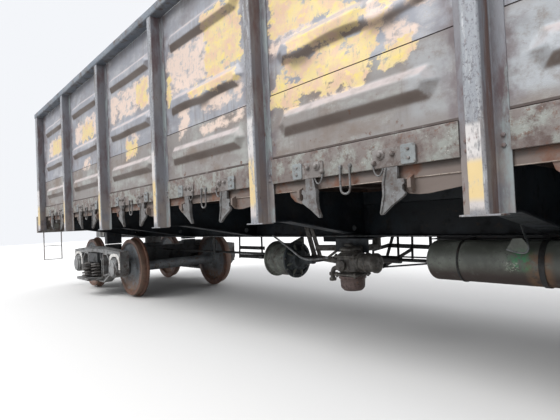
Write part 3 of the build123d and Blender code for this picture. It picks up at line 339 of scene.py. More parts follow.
# %% Post steel: thicker, bluer, scraped pale on the crown
def post_finish():
    """Scrapes are thin noise stretched along Z; old paint shows on the crowns near the lower chord."""
    material, shader, place, axes = start_finish("scraped paint on rolled hat section")
    broad = blotches(place, 0.4, (0.40, 0.64), stretch=(1, 1, 2.5), detail=6, shift=6)
    brown = blotches(place, 0.16, (0.46, 0.66), stretch=(1, 1, 3.0), detail=8, ragged=0.66, shift=12)
    scrape = blotches(place, 0.02, (0.50, 0.68), stretch=(1, 1, 9), detail=7, ragged=0.7, shift=4)
    rust = blotches(place, 0.05, (0.60, 0.72), stretch=(1, 1, 3), detail=8, ragged=0.7, shift=17)
    speck = blotches(place, 0.012, (0.50, 0.62), stretch=(1, 1, 1.6), detail=6, ragged=0.72, shift=51)
    out, from_post = outwards(axes), in_bay(axes)
    crown = band(out, half_width - 0.006, half_width + 0.1, 0.003)
    tree = place.id_data
    # The crown is painted paler than the flanks: partly a film of paint, partly painted light, as the crown
    # faces the light and the flanks turn from it
    crown_film_and_light = add(tree, "ShaderNodeMath", {0: broad, 1: 0.55}, operation="ADD").outputs[0]

    # Old paint on the crowns. It reaches further up on the posts behind the nearest one, so there the
    # heights above the paint's foot are drawn together before the bands are cut
    paint_foot, further_up = 1.13, 0.9
    behind = cut(axes["X"], 2.3, 2.2)
    one_up = add(tree, "ShaderNodeMath", {0: behind, 1: further_up, 2: paint_foot + 1},
                 operation="MULTIPLY_ADD").outputs[0]
    mark = add(tree, "ShaderNodeMapRange", {
        "Value": axes["Z"], "From Min": paint_foot, "From Max": one_up, "To Min": paint_foot,
        "To Max": paint_foot + 1}, clamp=False).outputs["Result"]
    # A strip of the crown, 30 to 60 mm along from the post's middle, is rubbed bare
    bare_edge = band(from_post, 0.030 - bay / 2, 0.060 - bay / 2, 0.004)
    held = product(crown, thinned(bare_edge),
                   blotches(place, 0.05, (0.34, 0.50), stretch=(1, 1, 2.5), detail=9, ragged=0.72, shift=19))
    white = product(held, band(mark, 1.43, 1.55, 0.030))
    yellow = product(held, band(mark, 1.22, 1.37, 0.040))
    faded = product(held, band(mark, 1.17, 1.42, 0.030))

    # Dust low down, rust in the fold beside the flange, and pale dust on the flange towards the front
    dusty = product(cut(axes["Z"], 1.75, 1.25), blotches(place, 0.14, (0.30, 0.60), shift=41))
    fold_rust = product(band(out, half_outer + 0.020, half_outer + 0.072, 0.008),
                        cut(axes["X"], -1.0, 3.4),
                        blotches(place, 0.06, (0.34, 0.56), stretch=(1, 1, 7), detail=8, ragged=0.7,
                                 shift=71))
    flange_dust = product(cut(out, half_outer + 0.012, half_outer + 0.009),
                          cut(from_post, -0.70, -0.74),
                          blotches(place, 0.15, (0.44, 0.58), stretch=(1, 1, 3), detail=8, ragged=0.7,
                                   shift=91))
    colour = coats("#7c7a7f", [
        ("#8a8c92", broad), ("#6f6062", brown), ("#968e89", dusty), ("#99a2a3", flange_dust),
        ("#745b52", fold_rust), ("#999da3", product(crown, crown_film_and_light)),
        ("#85807e", product(crown, brown)), ("#c3c6c9", product(scrape, crown)),
        ("#77767b", product(speck, crown)), ("#d2cbc8", faded), ("#dcd8d6", white), ("#e9d09a", yellow),
        ("#6a4438", rust)])
    grain = blotches(place, 0.005, (0.3, 0.8), detail=2)
    surface(shader, colour, (brown, 0.42, 0.78), [(scrape, 0.0006), (grain, 0.0004)], metallic=0.15)
    return material


finishes["post"] = post_finish()
print("nodes in the post finish", len(finishes["post"].node_tree.nodes))

# %% Hatch plate: bare steel that is always wet or rubbed by coal, dark brown with orange rust, and painted darker as the underside's shade
def hatch_finish():
    """Dark rusted plate, darker still as painted shade for the underside. Its turned-down outer edge is
    painted lighter, as light on it, with its upper band left darker as the chord's painted shadow, and it is
    orange with rust in places.
    """
    material, shader, place, axes = start_finish("rusted hatch plate")
    cover = blotches(place, 0.25, (0.42, 0.62), detail=7, ragged=0.62, shift=5)
    rusty = blotches(place, 0.45, (0.50, 0.62), detail=8, ragged=0.66, shift=62)
    wet = blotches(place, 0.15, (0.48, 0.66), detail=9, ragged=0.7, shift=15)
    # Painted light: the outer strip is lighter than the plate, whose dark stands for the underside's shade,
    # and its band below the chord's shadow is lighter still
    strip = cut(outwards(axes), hatch_edge - 0.015, hatch_edge - 0.008)
    lit_below_chord_shadow = product(strip, cut(axes["Z"], 1.405, 1.380))
    colour = coats("#332b28", [
        ("#483c35", cover), ("#272221", wet), ("#544b46", strip), ("#776b64", lit_below_chord_shadow),
        ("#744a33", product(strip, rusty)), ("#5c3a29", product(rusty, cover))])
    grain = blotches(place, 0.005, (0.25, 0.8), detail=3)
    surface(shader, colour, (wet, 0.5, 0.85), [(grain, 0.0006)], soft_edge=0.004)
    return material


finishes["hatch"] = hatch_finish()
print("nodes in the hatch finish", len(finishes["hatch"].node_tree.nodes))

# %% Wheel: rolled steel, dusty blue-grey on its plate, and a rim where brake heat has left rust
def wheel_finish():
    """A blue-grey plate and hub, and a red-brown rim: rim rises from 0 to 1 where numpy says."""
    material, shader, place, axes = start_finish("rolled wheel steel with a rusty rim")
    cover = blotches(place, 0.14, (0.40, 0.64), detail=7, ragged=0.62, shift=5)
    rusty = blotches(place, 0.05, (0.50, 0.66), detail=9, ragged=0.7, shift=15)
    tree = place.id_data
    rim = add(tree, "ShaderNodeAttribute", attribute_name="rim").outputs["Fac"]
    rim_edge = add(tree, "ShaderNodeAttribute", attribute_name="rim_edge").outputs["Fac"]
    low = product(cut(axes["Z"], 0.40, 0.10), blotches(place, 0.10, (0.30, 0.55), shift=9))
    colour = coats("#7b8187", [
        ("#979da1", cover), ("#75655c", rusty), ("#85654e", low), ("#65473a", rim),
        ("#7c5a4a", product(rim, cover)), ("#4b342b", product(rim, rusty)),
        ("#a08c7e", rim_edge)])
    grain = blotches(place, 0.004, (0.25, 0.8), detail=3)
    surface(shader, colour, (cover, 0.42, 0.75), [(grain, 0.0004)], metallic=0.2)
    return material


finishes["wheel"] = wheel_finish()
print("nodes in the wheel finish", len(finishes["wheel"].node_tree.nodes))

# %% Reservoir: green paint on welded plate, touched up once, with mud and rust
def reservoir_finish():
    """Grey-green paint, brown with splashed mud below, one bright green patch where it was touched up."""
    material, shader, place, axes = start_finish("touched-up green paint on a welded tank")
    cover = blotches(place, 0.16, (0.38, 0.64), detail=7, ragged=0.62, shift=5)
    mud = product(cut(axes["Z"], 0.80, 0.69), blotches(place, 0.12, (0.22, 0.50), shift=15))
    green = product(patch(axes, (2.42, 2.47, 0.07), (0.79, 0.85, 0.06)),
                    blotches(place, 0.030, (0.40, 0.62), detail=8, ragged=0.75, shift=58))
    flecks = product(patch(axes, (2.37, 2.42, 0.04), (0.76, 0.79, 0.03)),
                     blotches(place, 0.009, (0.50, 0.64), detail=6, ragged=0.75, shift=3))
    rust = product(patch(axes, (2.51, 2.60, 0.05), (0.60, 0.84, 0.05)),
                   blotches(place, 0.05, (0.34, 0.56), detail=8, ragged=0.7, shift=28))
    pits = blotches(place, 0.02, (0.56, 0.66), detail=6, ragged=0.7, shift=33)
    colour = coats("#5f635d", [
        ("#7d837b", cover), ("#4c4340", mud), ("#7d6450", rust), ("#48454a", product(pits, cover)),
        ("#4a9a68", green), ("#c9d2c2", flecks)])
    grain = blotches(place, 0.004, (0.25, 0.8), detail=3)
    surface(shader, colour, (mud, 0.45, 0.8), [(cover, 0.0008), (grain, 0.0004)], soft_edge=0.003)
    return material


finishes["reservoir"] = reservoir_finish()
print("nodes in the reservoir finish", len(finishes["reservoir"].node_tree.nodes))

# %% Rolled and cast steel of the other pieces: one recipe, different colours
def steel_finish(name, ground, film, stain, rust, fleck, grain_mm=5.0, blotch=0.25, rough=(0.5, 0.85),
                 rust_window=(0.56, 0.68), soft_edge=0.004, metallic=0.1, relief=0.0006):
    """A ground colour under a film of paint or dust, brown stains, flecks of rust and bright wear."""
    material, shader, place, _ = start_finish(name)
    cover = blotches(place, blotch, (0.42, 0.62), detail=7, ragged=0.62, shift=5)
    stained = blotches(place, blotch * 0.6, (0.48, 0.66), detail=9, ragged=0.7, shift=15)
    rusted = blotches(place, blotch * 0.3, rust_window, detail=9, ragged=0.72, shift=25)
    flecked = blotches(place, 0.012, (0.58, 0.70), detail=4, ragged=0.7, shift=35)
    colour = coats(ground, [(film, cover), (stain, stained), (rust, rusted),
                            (fleck, product(flecked, cover))])
    grain = blotches(place, grain_mm / 1000, (0.25, 0.8), detail=3)
    surface(shader, colour, (stained, *rough), [(grain, relief)], metallic=metallic, soft_edge=soft_edge)
    return material


# Name, then the colours of ground, film, stain, rust and fleck, then what differs in grain and blotches.
# Grain is drawn 3 to 9 mm coarse, ten times the real skin's, so that it shows from a few metres away
steel_table = {
    # Rolled steel under thin paint: smooth, cool and a little speckled, with brown stains
    "top_chord": ("thin paint on rolled chord", "#6e7884 #7f8790 #6a625f #5a4238 #a9adb2", {}),
    # The same steel lower down, where splashes have freckled it with rust
    "lower_chord": ("rust-speckled paint on rolled angle", "#7e7571 #989b95 #6c5e5a #74584c #bdbab2",
                    {"blotch": 0.12, "rust_window": (0.54, 0.66)}),
    # Bare steel black with oil and brake dust, and painted nearly black as shade too, so that it swallows
    # most of the light
    "underframe": ("oil-black underframe steel in painted shade", "#10161c #1e272f #17181b #30251d #363e45", {}),
    # Flange edges that boots and tools have rubbed, painted pale also as a highlight: the same steel, pale
    # and close-grained
    "rubbed_edge_and_highlight": ("rubbed underframe flange edge with a painted highlight", "#7c8184 #94989a #5b5653 #6d5a4e #b0b2b3",
                    {"grain_mm": 3, "blotch": 0.12}),
    # Sand-cast steel: a coarse skin, dull and dusty grey
    "latch": ("dusty sand-cast latch steel", "#6c6b6a #7f8081 #5c534e #54403a #a09f9d",
              {"grain_mm": 6, "blotch": 0.08}),
    # Sheared plate behind the claws: flat, brown with dust
    "latch_plate": ("brown-dusted latch plate", "#7c7673 #8f8b88 #685d58 #604437 #aca6a1",
                    {"grain_mm": 4, "blotch": 0.10}),
    # Cover plates with their paint still on: even, pale grey
    "pale_plate": ("grey-painted cover plate", "#868b8c #949a9b #767371 #68564a #b4b5b3",
                   {"grain_mm": 3, "blotch": 0.08}),
    # The hatches' lower lips, rubbed by every load: nearly bare, with a dull shine
    "rubbed_lip": ("rubbed edge of a hatch plate", "#a3958a #c2b6ab #7c6656 #8a5a3e #ddd4ca",
                   {"grain_mm": 3, "blotch": 0.12, "rough": (0.35, 0.7), "metallic": 0.3}),
    # Big bogie castings under pale road dust: the coarsest grain, mat
    "cast": ("dusty sand-cast bogie steel", "#6b6c6d #8f908f #544d49 #5c463b #aaa9a6",
             {"grain_mm": 9, "relief": 0.0012}),
    # Axle boxes: the same casting, paler where dust is thrown up
    "box_cast": ("pale dusty axle box casting", "#7f8182 #999b9a #605a57 #624a3c #b0b0ad",
                 {"grain_mm": 6, "blotch": 0.12}),
    # Castings in the wagon's shade, wet with oil and painted nearly black as shade too, with a coarse grain
    "dark_cast": ("oily sand-cast bolster steel in painted shade", "#2c2f31 #3d4042 #262322 #43332b #56585a",
                  {"grain_mm": 9, "relief": 0.0012}),
    # The painted rims over the axle boxes, the whitest thing on the wagon
    "bright": ("white-painted adapter rim", "#e9e8e4 #f2f1ee #bfbab3 #a08370 #f7f6f3", {"blotch": 0.10}),
    # Hot-wound spring bar: dark scale, a little oil
    "spring": ("oiled spring steel", "#4c4a49 #6b6763 #2f2b2a #5a3f31 #8a8682", {"blotch": 0.1}),
    # Pressed steel in old grey-green paint: mat, with brown scuffs
    "brake": ("old grey-green paint on pressed steel", "#565a55 #747a72 #47423e #6b5546 #8d9189",
              {"blotch": 0.12}),
    # Small iron castings of the brake: grey-brown, mat and grainy
    "brake_cast": ("dusty grey-brown brake casting", "#4a4845 #6a6863 #3a3431 #5f493b #8a867d",
                   {"grain_mm": 6, "blotch": 0.07, "relief": 0.001}),
    # The bowl below them, browner with road dust
    "bucket": ("brown-dusted cast bowl", "#5b4c49 #6d5d59 #463a37 #755543 #8b8079",
               {"grain_mm": 6, "blotch": 0.07, "relief": 0.001}),
    # Flat bar straps and rods: black, with rust only in flecks
    "strap": ("black strap steel", "#1d1e1f #2c2d2e #171412 #3e2c23 #4c4d4e", {}),
    # Cover of the brake cylinder: oil has soaked its paint nearly black, and dust sits on its ribs
    "oiled_cover": ("oil-soaked slate paint on a cast cover", "#22292d #333b3f #1b1c1d #3b2e27 #5c6366",
                    {"grain_mm": 5, "blotch": 0.08}),
}
for finish, (name, colours, settings) in steel_table.items():
    finishes[finish] = steel_finish(name, *colours.split(), **settings)
print("finishes", len(finishes))

# %% [markdown]
# ## Floor and light
# A pale floor and an even sky, like a studio with a big soft box overhead. A real wagon stands over
# dark ballast, which throws little light up under it. So the floor is pale to the camera and to
# reflections, and darker to the light that bounces.

# %% Floor and backdrop
def studio_material(name, seen, bounced):
    """White seen by the camera and in reflections, a darker tone for every other ray."""
    material = bpy.data.materials.new(name)
    material.use_nodes = True
    tree = material.node_tree
    shader = tree.nodes["Principled BSDF"]
    shader.inputs["Roughness"].default_value = 0.9
    shader.inputs["Specular IOR Level"].default_value = 0.1
    rays = add(tree, "ShaderNodeLightPath").outputs
    seen_rays = rays["Is Camera Ray"]
    for ray in ("Is Glossy Ray", "Is Transmission Ray"):
        seen_rays = add(tree, "ShaderNodeMath", {0: seen_rays, 1: rays[ray]}, operation="ADD",
                        use_clamp=True).outputs[0]
    tone = add(tree, "ShaderNodeMix", {0: seen_rays, 6: linear(bounced), 7: linear(seen)}, data_type="RGBA")
    tree.links.new(tone.outputs[2], shader.inputs["Base Color"])
    return material


floor_half = 40.0
floor_mesh = bpy.data.meshes.new("floor")
floor_mesh.from_pydata([(-floor_half, -floor_half, 0), (floor_half, -floor_half, 0),
                        (floor_half, floor_half, 0), (-floor_half, floor_half, 0)], [], [(0, 1, 2, 3)])
floor = bpy.data.objects.new("floor", floor_mesh)
bpy.context.scene.collection.objects.link(floor)
floor_mesh.materials.append(studio_material("pale floor", "#e2e1df", "#78736d"))
print("floor from", -floor_half, "to", floor_half)

# %% Sky and one soft lamp
world = bpy.data.worlds.new("studio")
bpy.context.scene.world = world
world.use_nodes = True
sky = world.node_tree
sky.nodes["Background"].inputs["Color"].default_value = linear("#f4f6fa")
# In a world, Generated is the direction of the ray: light comes stronger from higher up
ray_direction = add(sky, "ShaderNodeTexCoord").outputs["Generated"]
upwards = add(sky, "ShaderNodeSeparateXYZ", {"Vector": ray_direction}).outputs["Z"]
overhead = add(sky, "ShaderNodeMapRange", {"Value": upwards, "To Min": 0.75, "To Max": 1.6}).outputs["Result"]
sky_rays = add(sky, "ShaderNodeLightPath").outputs
sky_strength = add(sky, "ShaderNodeMix", {"Factor": sky_rays["Is Camera Ray"], 2: overhead, 3: 1.0})
sky.links.new(sky_strength.outputs[0], sky.nodes["Background"].inputs["Strength"])

lamp_data = bpy.data.lights.new("soft sun", "SUN")
lamp_data.energy = 2.0
lamp_data.angle = math.radians(40)
lamp = bpy.data.objects.new("soft sun", lamp_data)
lamp.rotation_euler = Vector((-0.32, -0.62, 0.72)).to_track_quat("Z", "Y").to_euler()
bpy.context.scene.collection.objects.link(lamp)
bpy.context.scene.view_settings.view_transform = "Standard"
print("lamp", lamp_data.energy)

# %% Every construction node gets a finish
finish_of_node = {
    "side_wall_": "wall_sheet", "end_wall_": "wall_sheet", "posts": "post", "top_chords": "top_chord",
    "lower_chords": "lower_chord", "hatch_hinges": "underframe", "hatch_": "hatch", "latch_": "latch",
    "couplers": "cast", "uncoupling": "brake", "steps": "post", "brake_beams": "cast", "brake_": "brake",
    "air_reservoir": "reservoir", "air_distributor": "brake", "bogie_bolster": "cast",
    "side_frames": "cast", "springs": "spring", "axle_boxes": "cast", "wheels": "wheel", "axle_": "wheel",
}
for node, shown in frame["nodes"].items():
    matches = [start for start in finish_of_node if node.startswith(start)]
    best = finish_of_node[max(matches, key=len)] if matches else "underframe"
    shown.data.materials.clear()
    shown.data.materials.append(finishes[best])
print("nodes given a finish", len(frame["nodes"]))

# %% [markdown]
# ## Surfaces from numpy
# Each new piece is a grid of points worked out as whole arrays: rows along one parameter, columns
# along another. One function joins neighbouring points into quads, another turns a row of closed
# rings into a tube, and a third writes several surfaces into one object with outward faces.

# %% Grid, tube and piece builders
def weave(points, around=False, closed=False):
    """Corners and quads of a grid of points. Around joins its last column to its first, closed its rows."""
    rows, columns = points.shape[:2]
    index = np.arange(rows * columns).reshape(rows, columns)
    if around:
        index = np.hstack([index, index[:, :1]])
    if closed:
        index = np.vstack([index, index[:1]])
    quads = np.stack([index[:-1, :-1], index[:-1, 1:], index[1:, 1:], index[1:, :-1]], -1)
    return points.reshape(-1, 3), quads.reshape(-1, 4).tolist()


def tube(rings):
    """A closed skin through a row of closed rings, with one flat face on each end."""
    corners, faces = weave(rings, around=True)
    count = rings.shape[1]
    last = len(corners) - count
    return corners, faces + [list(range(count)), list(range(last, last + count))]


def shell(front, back):
    """A sheet with thickness: two grids of the same shape, joined along their four edges."""
    rows, columns = front.shape[:2]
    index = np.arange(rows * columns).reshape(rows, columns)
    rim = np.concatenate([index[0, :-1], index[:-1, -1], index[-1, :0:-1], index[:0:-1, 0]])
    following = np.roll(rim, -1)
    front_corners, front_faces = weave(front)
    back_faces = (np.array(weave(back)[1]) + rows * columns).tolist()
    edge = np.stack([rim, following, following + rows * columns, rim + rows * columns], -1).tolist()
    return np.vstack([front_corners, back.reshape(-1, 3)]), front_faces + back_faces + edge


def finish_piece(name, mesh, finish, body, stands_for, sharp):
    """Smooths a mesh but for edges over the sharp angle, gives it its finish, and lets it ride a body."""
    mesh.shade_smooth()
    mesh.set_sharp_from_angle(angle=math.radians(sharp))
    mesh.materials.clear()
    mesh.materials.append(finishes[finish])
    made = bpy.data.objects.new(name, mesh)
    bpy.context.scene.collection.objects.link(made)
    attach(made, body)
    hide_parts(*stands_for)
    return made


def make_piece(name, surfaces, finish, body="wagon_body", stands_for=(), sharp=38, values=None):
    """Writes surfaces into one mesh at the origin, turns its faces outwards and lets it ride a body.

    Values are named numbers, one for each corner in the order of the surfaces, for the shaders."""
    sizes = np.cumsum([0, *[len(corners) for corners, _ in surfaces]])
    corners = np.vstack([corners for corners, _ in surfaces])
    faces = [[i + int(start) for i in face] for start, (_, own) in zip(sizes, surfaces) for face in own]
    mesh = bpy.data.meshes.new(name)
    mesh.from_pydata(corners.tolist(), [], faces)
    shaper = bmesh.new()
    shaper.from_mesh(mesh)
    bmesh.ops.recalc_face_normals(shaper, faces=shaper.faces)
    shaper.to_mesh(mesh)
    shaper.free()
    made = finish_piece(name, mesh, finish, body, stands_for, sharp)
    for label, numbers in (values or {}).items():
        written = mesh.attributes.new(label, "FLOAT", "POINT")
        written.data.foreach_set("value", np.asarray(numbers, np.float32))
    return made


def smooth_step(value, low, high):
    """Rises from 0 to 1 between low and high as 3t squared less 2t cubed."""
    share = np.clip((value - low) / (high - low), 0, 1)
    return share * share * (3 - 2 * share)


# %% [markdown]
# ## Wall panels
# Each wall is seven panels between the posts. A panel is a height field: for every place along the
# panel and every height we add the pressings, the lap of the lower sheet over the upper one, and the
# dents that coal and grabs have made. Dents are a few broad Gaussian bumps, drawn from a seeded
# generator so that they come out the same on each run.

# %% Height field of a panel
def pressing_swell(along, height, half_long=0.665, half_wide=0.100, depth=0.042, run=0.065, end_run=0.105):
    """Swell of one pressing: the lower of a ramp from its long edges and a ramp from its pointed ends.

    Its upper edge is the softer one, as a smooth step, and its lower edge nearer to a plain ramp."""
    away = np.abs(height)
    ramp = np.minimum((half_wide - away) / run, (half_long - 0.7 * away - np.abs(along)) / end_run)
    ramp = np.clip(ramp, 0, 1)
    softness = smooth_step(height, -0.3 * half_wide, 0.3 * half_wide)
    return depth * ((0.75 - 0.45 * softness) * ramp + (0.25 + 0.45 * softness) * smooth_step(ramp, 0, 1))


def dents(along, height, seed, count=9, deepest=0.010):
    """Broad bumps in and out, kept small near the posts and the chords."""
    draw = np.random.default_rng(seed)
    field = np.zeros_like(along)
    for centre_x, centre_z, size, depth in zip(
            draw.uniform(-0.65, 0.65, count), draw.uniform(1.75, 3.3, count),
            draw.uniform(0.10, 0.26, count), draw.uniform(-deepest, deepest, count)):
        field += depth * np.exp(-((along - centre_x) ** 2 + 1.6 * (height - centre_z) ** 2) / size ** 2)
    calm = smooth_step(0.74 - np.abs(along), 0, 0.15) * smooth_step(height, 1.62, 1.75)
    return field * calm * smooth_step(wall_top - height, 0, 0.1)


def panel_offsets(along, height, seed, buckled=0.012, crushed=0.0):
    """Distance of the outer and the inner skin from the flat sheet, for each point of the grid.

    Buckled is the wave of the middle pressing's lower edge, crushed the share that one end is beaten in."""
    buckle = buckled * np.sin(9 * along + seed) * np.exp(-((height - pressing_heights[1] + 0.09) / 0.07) ** 2)
    hit = np.exp(-((along - 0.42) / 0.26) ** 2 - ((height - pressing_heights[1] - 0.03) / 0.10) ** 2)
    swell = sum(pressing_swell(along, height - middle + 0.4 * buckle) for middle in pressing_heights)
    swell = swell * (1 - crushed * hit) - 0.3 * crushed * hit * 0.03 * np.sin(27 * along + 19 * height)
    worn = dents(along, height, seed) + 0.35 * buckle * smooth_step(0.7 - np.abs(along), 0, 0.2)
    between_posts = np.abs(along) < post_edge + 0.001
    lap = np.where((height < seam) & (height > chord_top) & between_posts, 0.004, 0.0)
    crease = 0.005 * np.exp(-((height - seam + 0.072) / 0.018) ** 2) * between_posts
    groove = np.where(np.abs(height - seam - 0.004) < 0.0035, -0.0045, 0.0) * between_posts
    return swell + worn + lap + crease + groove, swell + worn


print("a pressing stands out by", round(float(pressing_swell(np.zeros(1), np.zeros(1))[0]), 3))

# %% Grid lines, close together where the sheet bends
def grid_lines(middles, half_fine, fine, low, high, coarse):
    """Values from low to high, close together round each middle and further apart elsewhere."""
    near = [np.arange(m - half_fine, m + half_fine + fine / 2, fine) for m in middles]
    far = [v for v in np.linspace(low, high, coarse) if all(abs(v - m) > half_fine + fine for m in middles)]
    return np.unique(np.round(np.concatenate([*near, far, [low, high]]), 5))


panel_heights = np.unique(np.concatenate([
    grid_lines(pressing_heights, 0.112, 0.010, wall_foot, wall_top, 32),
    [chord_top - 0.0005, chord_top + 0.0005, seam - 0.001, seam + 0.0006, seam + 0.007, seam + 0.008]]))
pressing_ends = np.arange(0.48, 0.66, 0.015)
panel_steps = np.unique(np.concatenate([
    np.linspace(-bay / 2, bay / 2, 40), pressing_ends, -pressing_ends,
    [-post_edge - 0.001, -post_edge + 0.0005, post_edge - 0.0005, post_edge + 0.001]]))
print("grid of a panel", len(panel_heights), "by", len(panel_steps))

# %% Old paint, as soft patches in each bay
# Bays count from the rear. A patch is its place along the bay and its height, then half its size in both
yellow_table = {
    5: [(-0.32, 2.84, 0.38, 0.28), (-0.14, 2.42, 0.30, 0.06), (-0.06, 2.22, 0.32, 0.07),
        (-0.51, 2.24, 0.11, 0.05), (-0.26, 2.07, 0.44, 0.06), (0.30, 2.06, 0.05, 0.04),
        (0.40, 2.11, 0.10, 0.02), (0.42, 2.44, 0.10, 0.06), (0.46, 2.88, 0.08, 0.12)],
    4: [(0.36, 2.80, 0.26, 0.26), (0.20, 2.44, 0.36, 0.04), (-0.66, 2.58, 0.02, 0.16)],
    3: [(0.02, 2.12, 0.16, 0.08), (0.38, 2.74, 0.14, 0.12)],
    2: [(0.10, 2.66, 0.26, 0.10)],
    1: [(0.10, 2.70, 0.26, 0.10)],
}
peach_table = {
    5: [(-0.48, 2.78, 0.22, 0.32), (0.36, 2.84, 0.22, 0.16), (0.42, 2.42, 0.20, 0.10),
        (0.42, 2.18, 0.10, 0.06), (-0.1, 1.99, 0.24, 0.01)],
    4: [(-0.22, 2.74, 0.44, 0.22), (-0.36, 2.20, 0.08, 0.14), (0.30, 2.27, 0.30, 0.05),
        (0.30, 2.06, 0.34, 0.02)],
    3: [(0.0, 2.74, 0.60, 0.16), (0.08, 2.25, 0.20, 0.04)],
    2: [(0.0, 2.70, 0.50, 0.14), (0.0, 2.15, 0.16, 0.06)],
    1: [(0.0, 2.70, 0.44, 0.14)],
    6: [(-0.25, 2.70, 0.30, 0.14)],
    7: [(0.1, 2.70, 0.30, 0.14)],
}


def paint_strength(along, height, patches, soft=0.15, inset=0.035):
    """1 inside the patches, falling to 0 over a soft distance that starts a little inside their edge."""
    strength = np.zeros_like(along)
    for middle_u, middle_z, half_u, half_z in patches:
        out_u = np.maximum(np.abs(along - middle_u) - half_u + inset, 0)
        out_z = np.maximum(np.abs(height - middle_z) - half_z + inset, 0)
        strength = np.maximum(strength, 1 - smooth_step(np.hypot(out_u, out_z), 0, soft))
    return strength


patch_counts = [len(row) for table in (yellow_table, peach_table) for row in table.values()]
print("patches of old paint", sum(patch_counts))

# %% Seven panels on each side
# Panels that were hit hard, by side and bay: wave of the middle pressing, share by which an end is crushed
beaten = {(-1, 5): (0.040, 0.75), (-1, 4): (0.030, 0.1), (-1, 6): (0.020, 0.3), (1, 3): (0.030, 0.6)}
for side, side_name in sides:
    for number, middle in enumerate(bay_spots, start=1):
        steps = panel_steps.copy()
        if number in (1, bay_count):
            outermost = 0 if number == 1 else -1
            steps[outermost] = math.copysign(wall_end, middle) - middle
        along, height = np.meshgrid(steps, panel_heights)
        outer, inner = panel_offsets(along, height, 10 * number + side, *beaten.get((side, number), ()))
        skins = [np.stack([along + middle, side * (face + offset), height], -1)
                 for face, offset in ((half_outer, outer), (half_inner, inner))]
        bare = np.zeros(along.size)
        paint = {label: np.concatenate([paint_strength(along, height, table.get(number, ())).ravel(), bare])
                 for label, table in (("yellow_paint", yellow_table), ("peach_paint", peach_table))}
        lean = np.gradient(inner, panel_heights, axis=0).ravel()
        make_piece(f"wall_panel_{side_name}_{number}", [shell(*skins)], "wall_sheet",
                   stands_for=[f"side_wall_{side_name}"], sharp=50,
                   values={**paint, "inner_skin": np.concatenate([bare, bare + 1]),
                           "lean": np.concatenate([lean, bare])})
print("points in a panel", along.size)

# %% [markdown]
# ## Posts
# A post is a hat-shaped section pressed from 8 mm plate. Its bends are round, so the profile carries a
# small arc at every corner, worked out from the two directions that meet there. The crown has been hit
# by loaders: it is pushed in by up to three millimetres, and we add that as a slow wave up the post.

# %% Profile with round corners
def rounded(corners, radii, steps=5):
    """A closed outline whose corners are arcs: each runs between the tangent points, by angle."""
    corners = np.array(corners, float)
    before = np.roll(corners, 1, axis=0) - corners
    after = np.roll(corners, -1, axis=0) - corners
    before /= np.linalg.norm(before, axis=1, keepdims=True)
    after /= np.linalg.norm(after, axis=1, keepdims=True)
    half_angle = np.arccos(np.clip((before * after).sum(1), -1, 1)) / 2
    radii = np.broadcast_to(radii, len(corners))
    reach = (radii / np.tan(half_angle))[:, None]
    bisector = before + after
    bisector /= np.linalg.norm(bisector, axis=1, keepdims=True)
    centres = corners + bisector * (radii / np.sin(half_angle))[:, None]
    start, stop = corners + before * reach - centres, corners + after * reach - centres
    share = np.linspace(0, 1, steps)[None, :, None]
    arc = (1 - share) * start[:, None] + share * stop[:, None]
    arc *= radii[:, None, None] / np.maximum(np.linalg.norm(arc, axis=2, keepdims=True), 1e-9)
    return (centres[:, None] + arc).reshape(-1, 2)


hat_corners = [(-0.124, 0), (-0.124, 0.008), (-0.052, 0.008), (-0.047, 0.116), (0.047, 0.116), (0.052, 0.008),
               (0.124, 0.008), (0.124, 0), (0.044, 0), (0.039, 0.108), (-0.039, 0.108), (-0.044, 0)]
hat_radii = [0.001, 0.003, 0.007, 0.013, 0.013, 0.007, 0.003, 0.001, 0.002, 0.005, 0.005, 0.002]
hat = rounded(hat_corners, hat_radii)


def upright_bar(outline, middle, side, low, high, face, seed, rows=32, wave=0.0015):
    """A profile carried up along Z: a slow seeded wave pushes its crown in, and sideways half as far."""
    heights = np.linspace(low, high, rows)[:, None]
    draw = np.random.default_rng(seed)
    phase = draw.uniform(0, 6.28, 3)
    push = wave * (np.sin(5 * heights + phase[0]) + 0.7 * np.sin(13 * heights + phase[1])
                   + 0.4 * np.sin(31 * heights + phase[2]))
    crown_share = np.clip(outline[:, 1] / post_depth, 0, 1)[None, :]
    x = middle + outline[:, 0][None, :] + 0.5 * push * crown_share
    y = side * (face + outline[:, 1][None, :] - np.abs(push) * crown_share)
    return tube(np.stack([x + 0 * heights, y, heights + 0 * x], -1))


foot_plate = 0.010
post_surfaces = [upright_bar(hat, x, side, post_bottom + foot_plate, wall_top, half_outer,
                             seed=int(100 * x) % 89) for side, _ in sides for x in post_spots]
print("points round a post's section", len(hat))

# %% [markdown]
# Each post stands on a closing plate, is bolted to the lower chord and riveted to the top chord. Plates
# are stacks of rings drawn in at both ends, which eases their edges, and a bolt head is a low dome.

# %% Closing plates, bolts and corner posts
def slab(low, high, edge=0.002):
    """A plate between two corners whose edges are eased: of its four rings, the outer two are drawn in."""
    low, high = np.array(low, float), np.array(high, float)
    rings = []
    for z, inset in ((low[2], edge), (low[2] + edge, 0), (high[2] - edge, 0), (high[2], edge)):
        ring = rounded([(low[0] + inset, low[1] + inset), (high[0] - inset, low[1] + inset),
                        (high[0] - inset, high[1] - inset), (low[0] + inset, high[1] - inset)], edge, 3)
        rings.append(np.column_stack([ring, np.full(len(ring), z)]))
    return tube(np.array(rings))


def dome(centre, out, radius, height, sides_count=12):
    """A rivet or bolt head: rings that shrink from a round foot to a small flat top, along out."""
    centre, out = np.array(centre, float), np.array(out, float)
    across = np.cross(out, (0, 0, 1) if abs(out[2]) < 0.9 else (1, 0, 0))
    across /= np.linalg.norm(across)
    other = np.cross(out, across)
    turn = np.linspace(0, 2 * math.pi, sides_count, endpoint=False)
    circle = np.cos(turn)[:, None] * across + np.sin(turn)[:, None] * other
    rise = np.array([(1.0, 0.0), (1.0, 0.45), (0.86, 0.75), (0.55, 0.95), (0.25, 1.0)])
    rings = centre + radius * rise[:, :1, None] * circle + height * rise[:, 1:, None] * out
    return tube(rings)


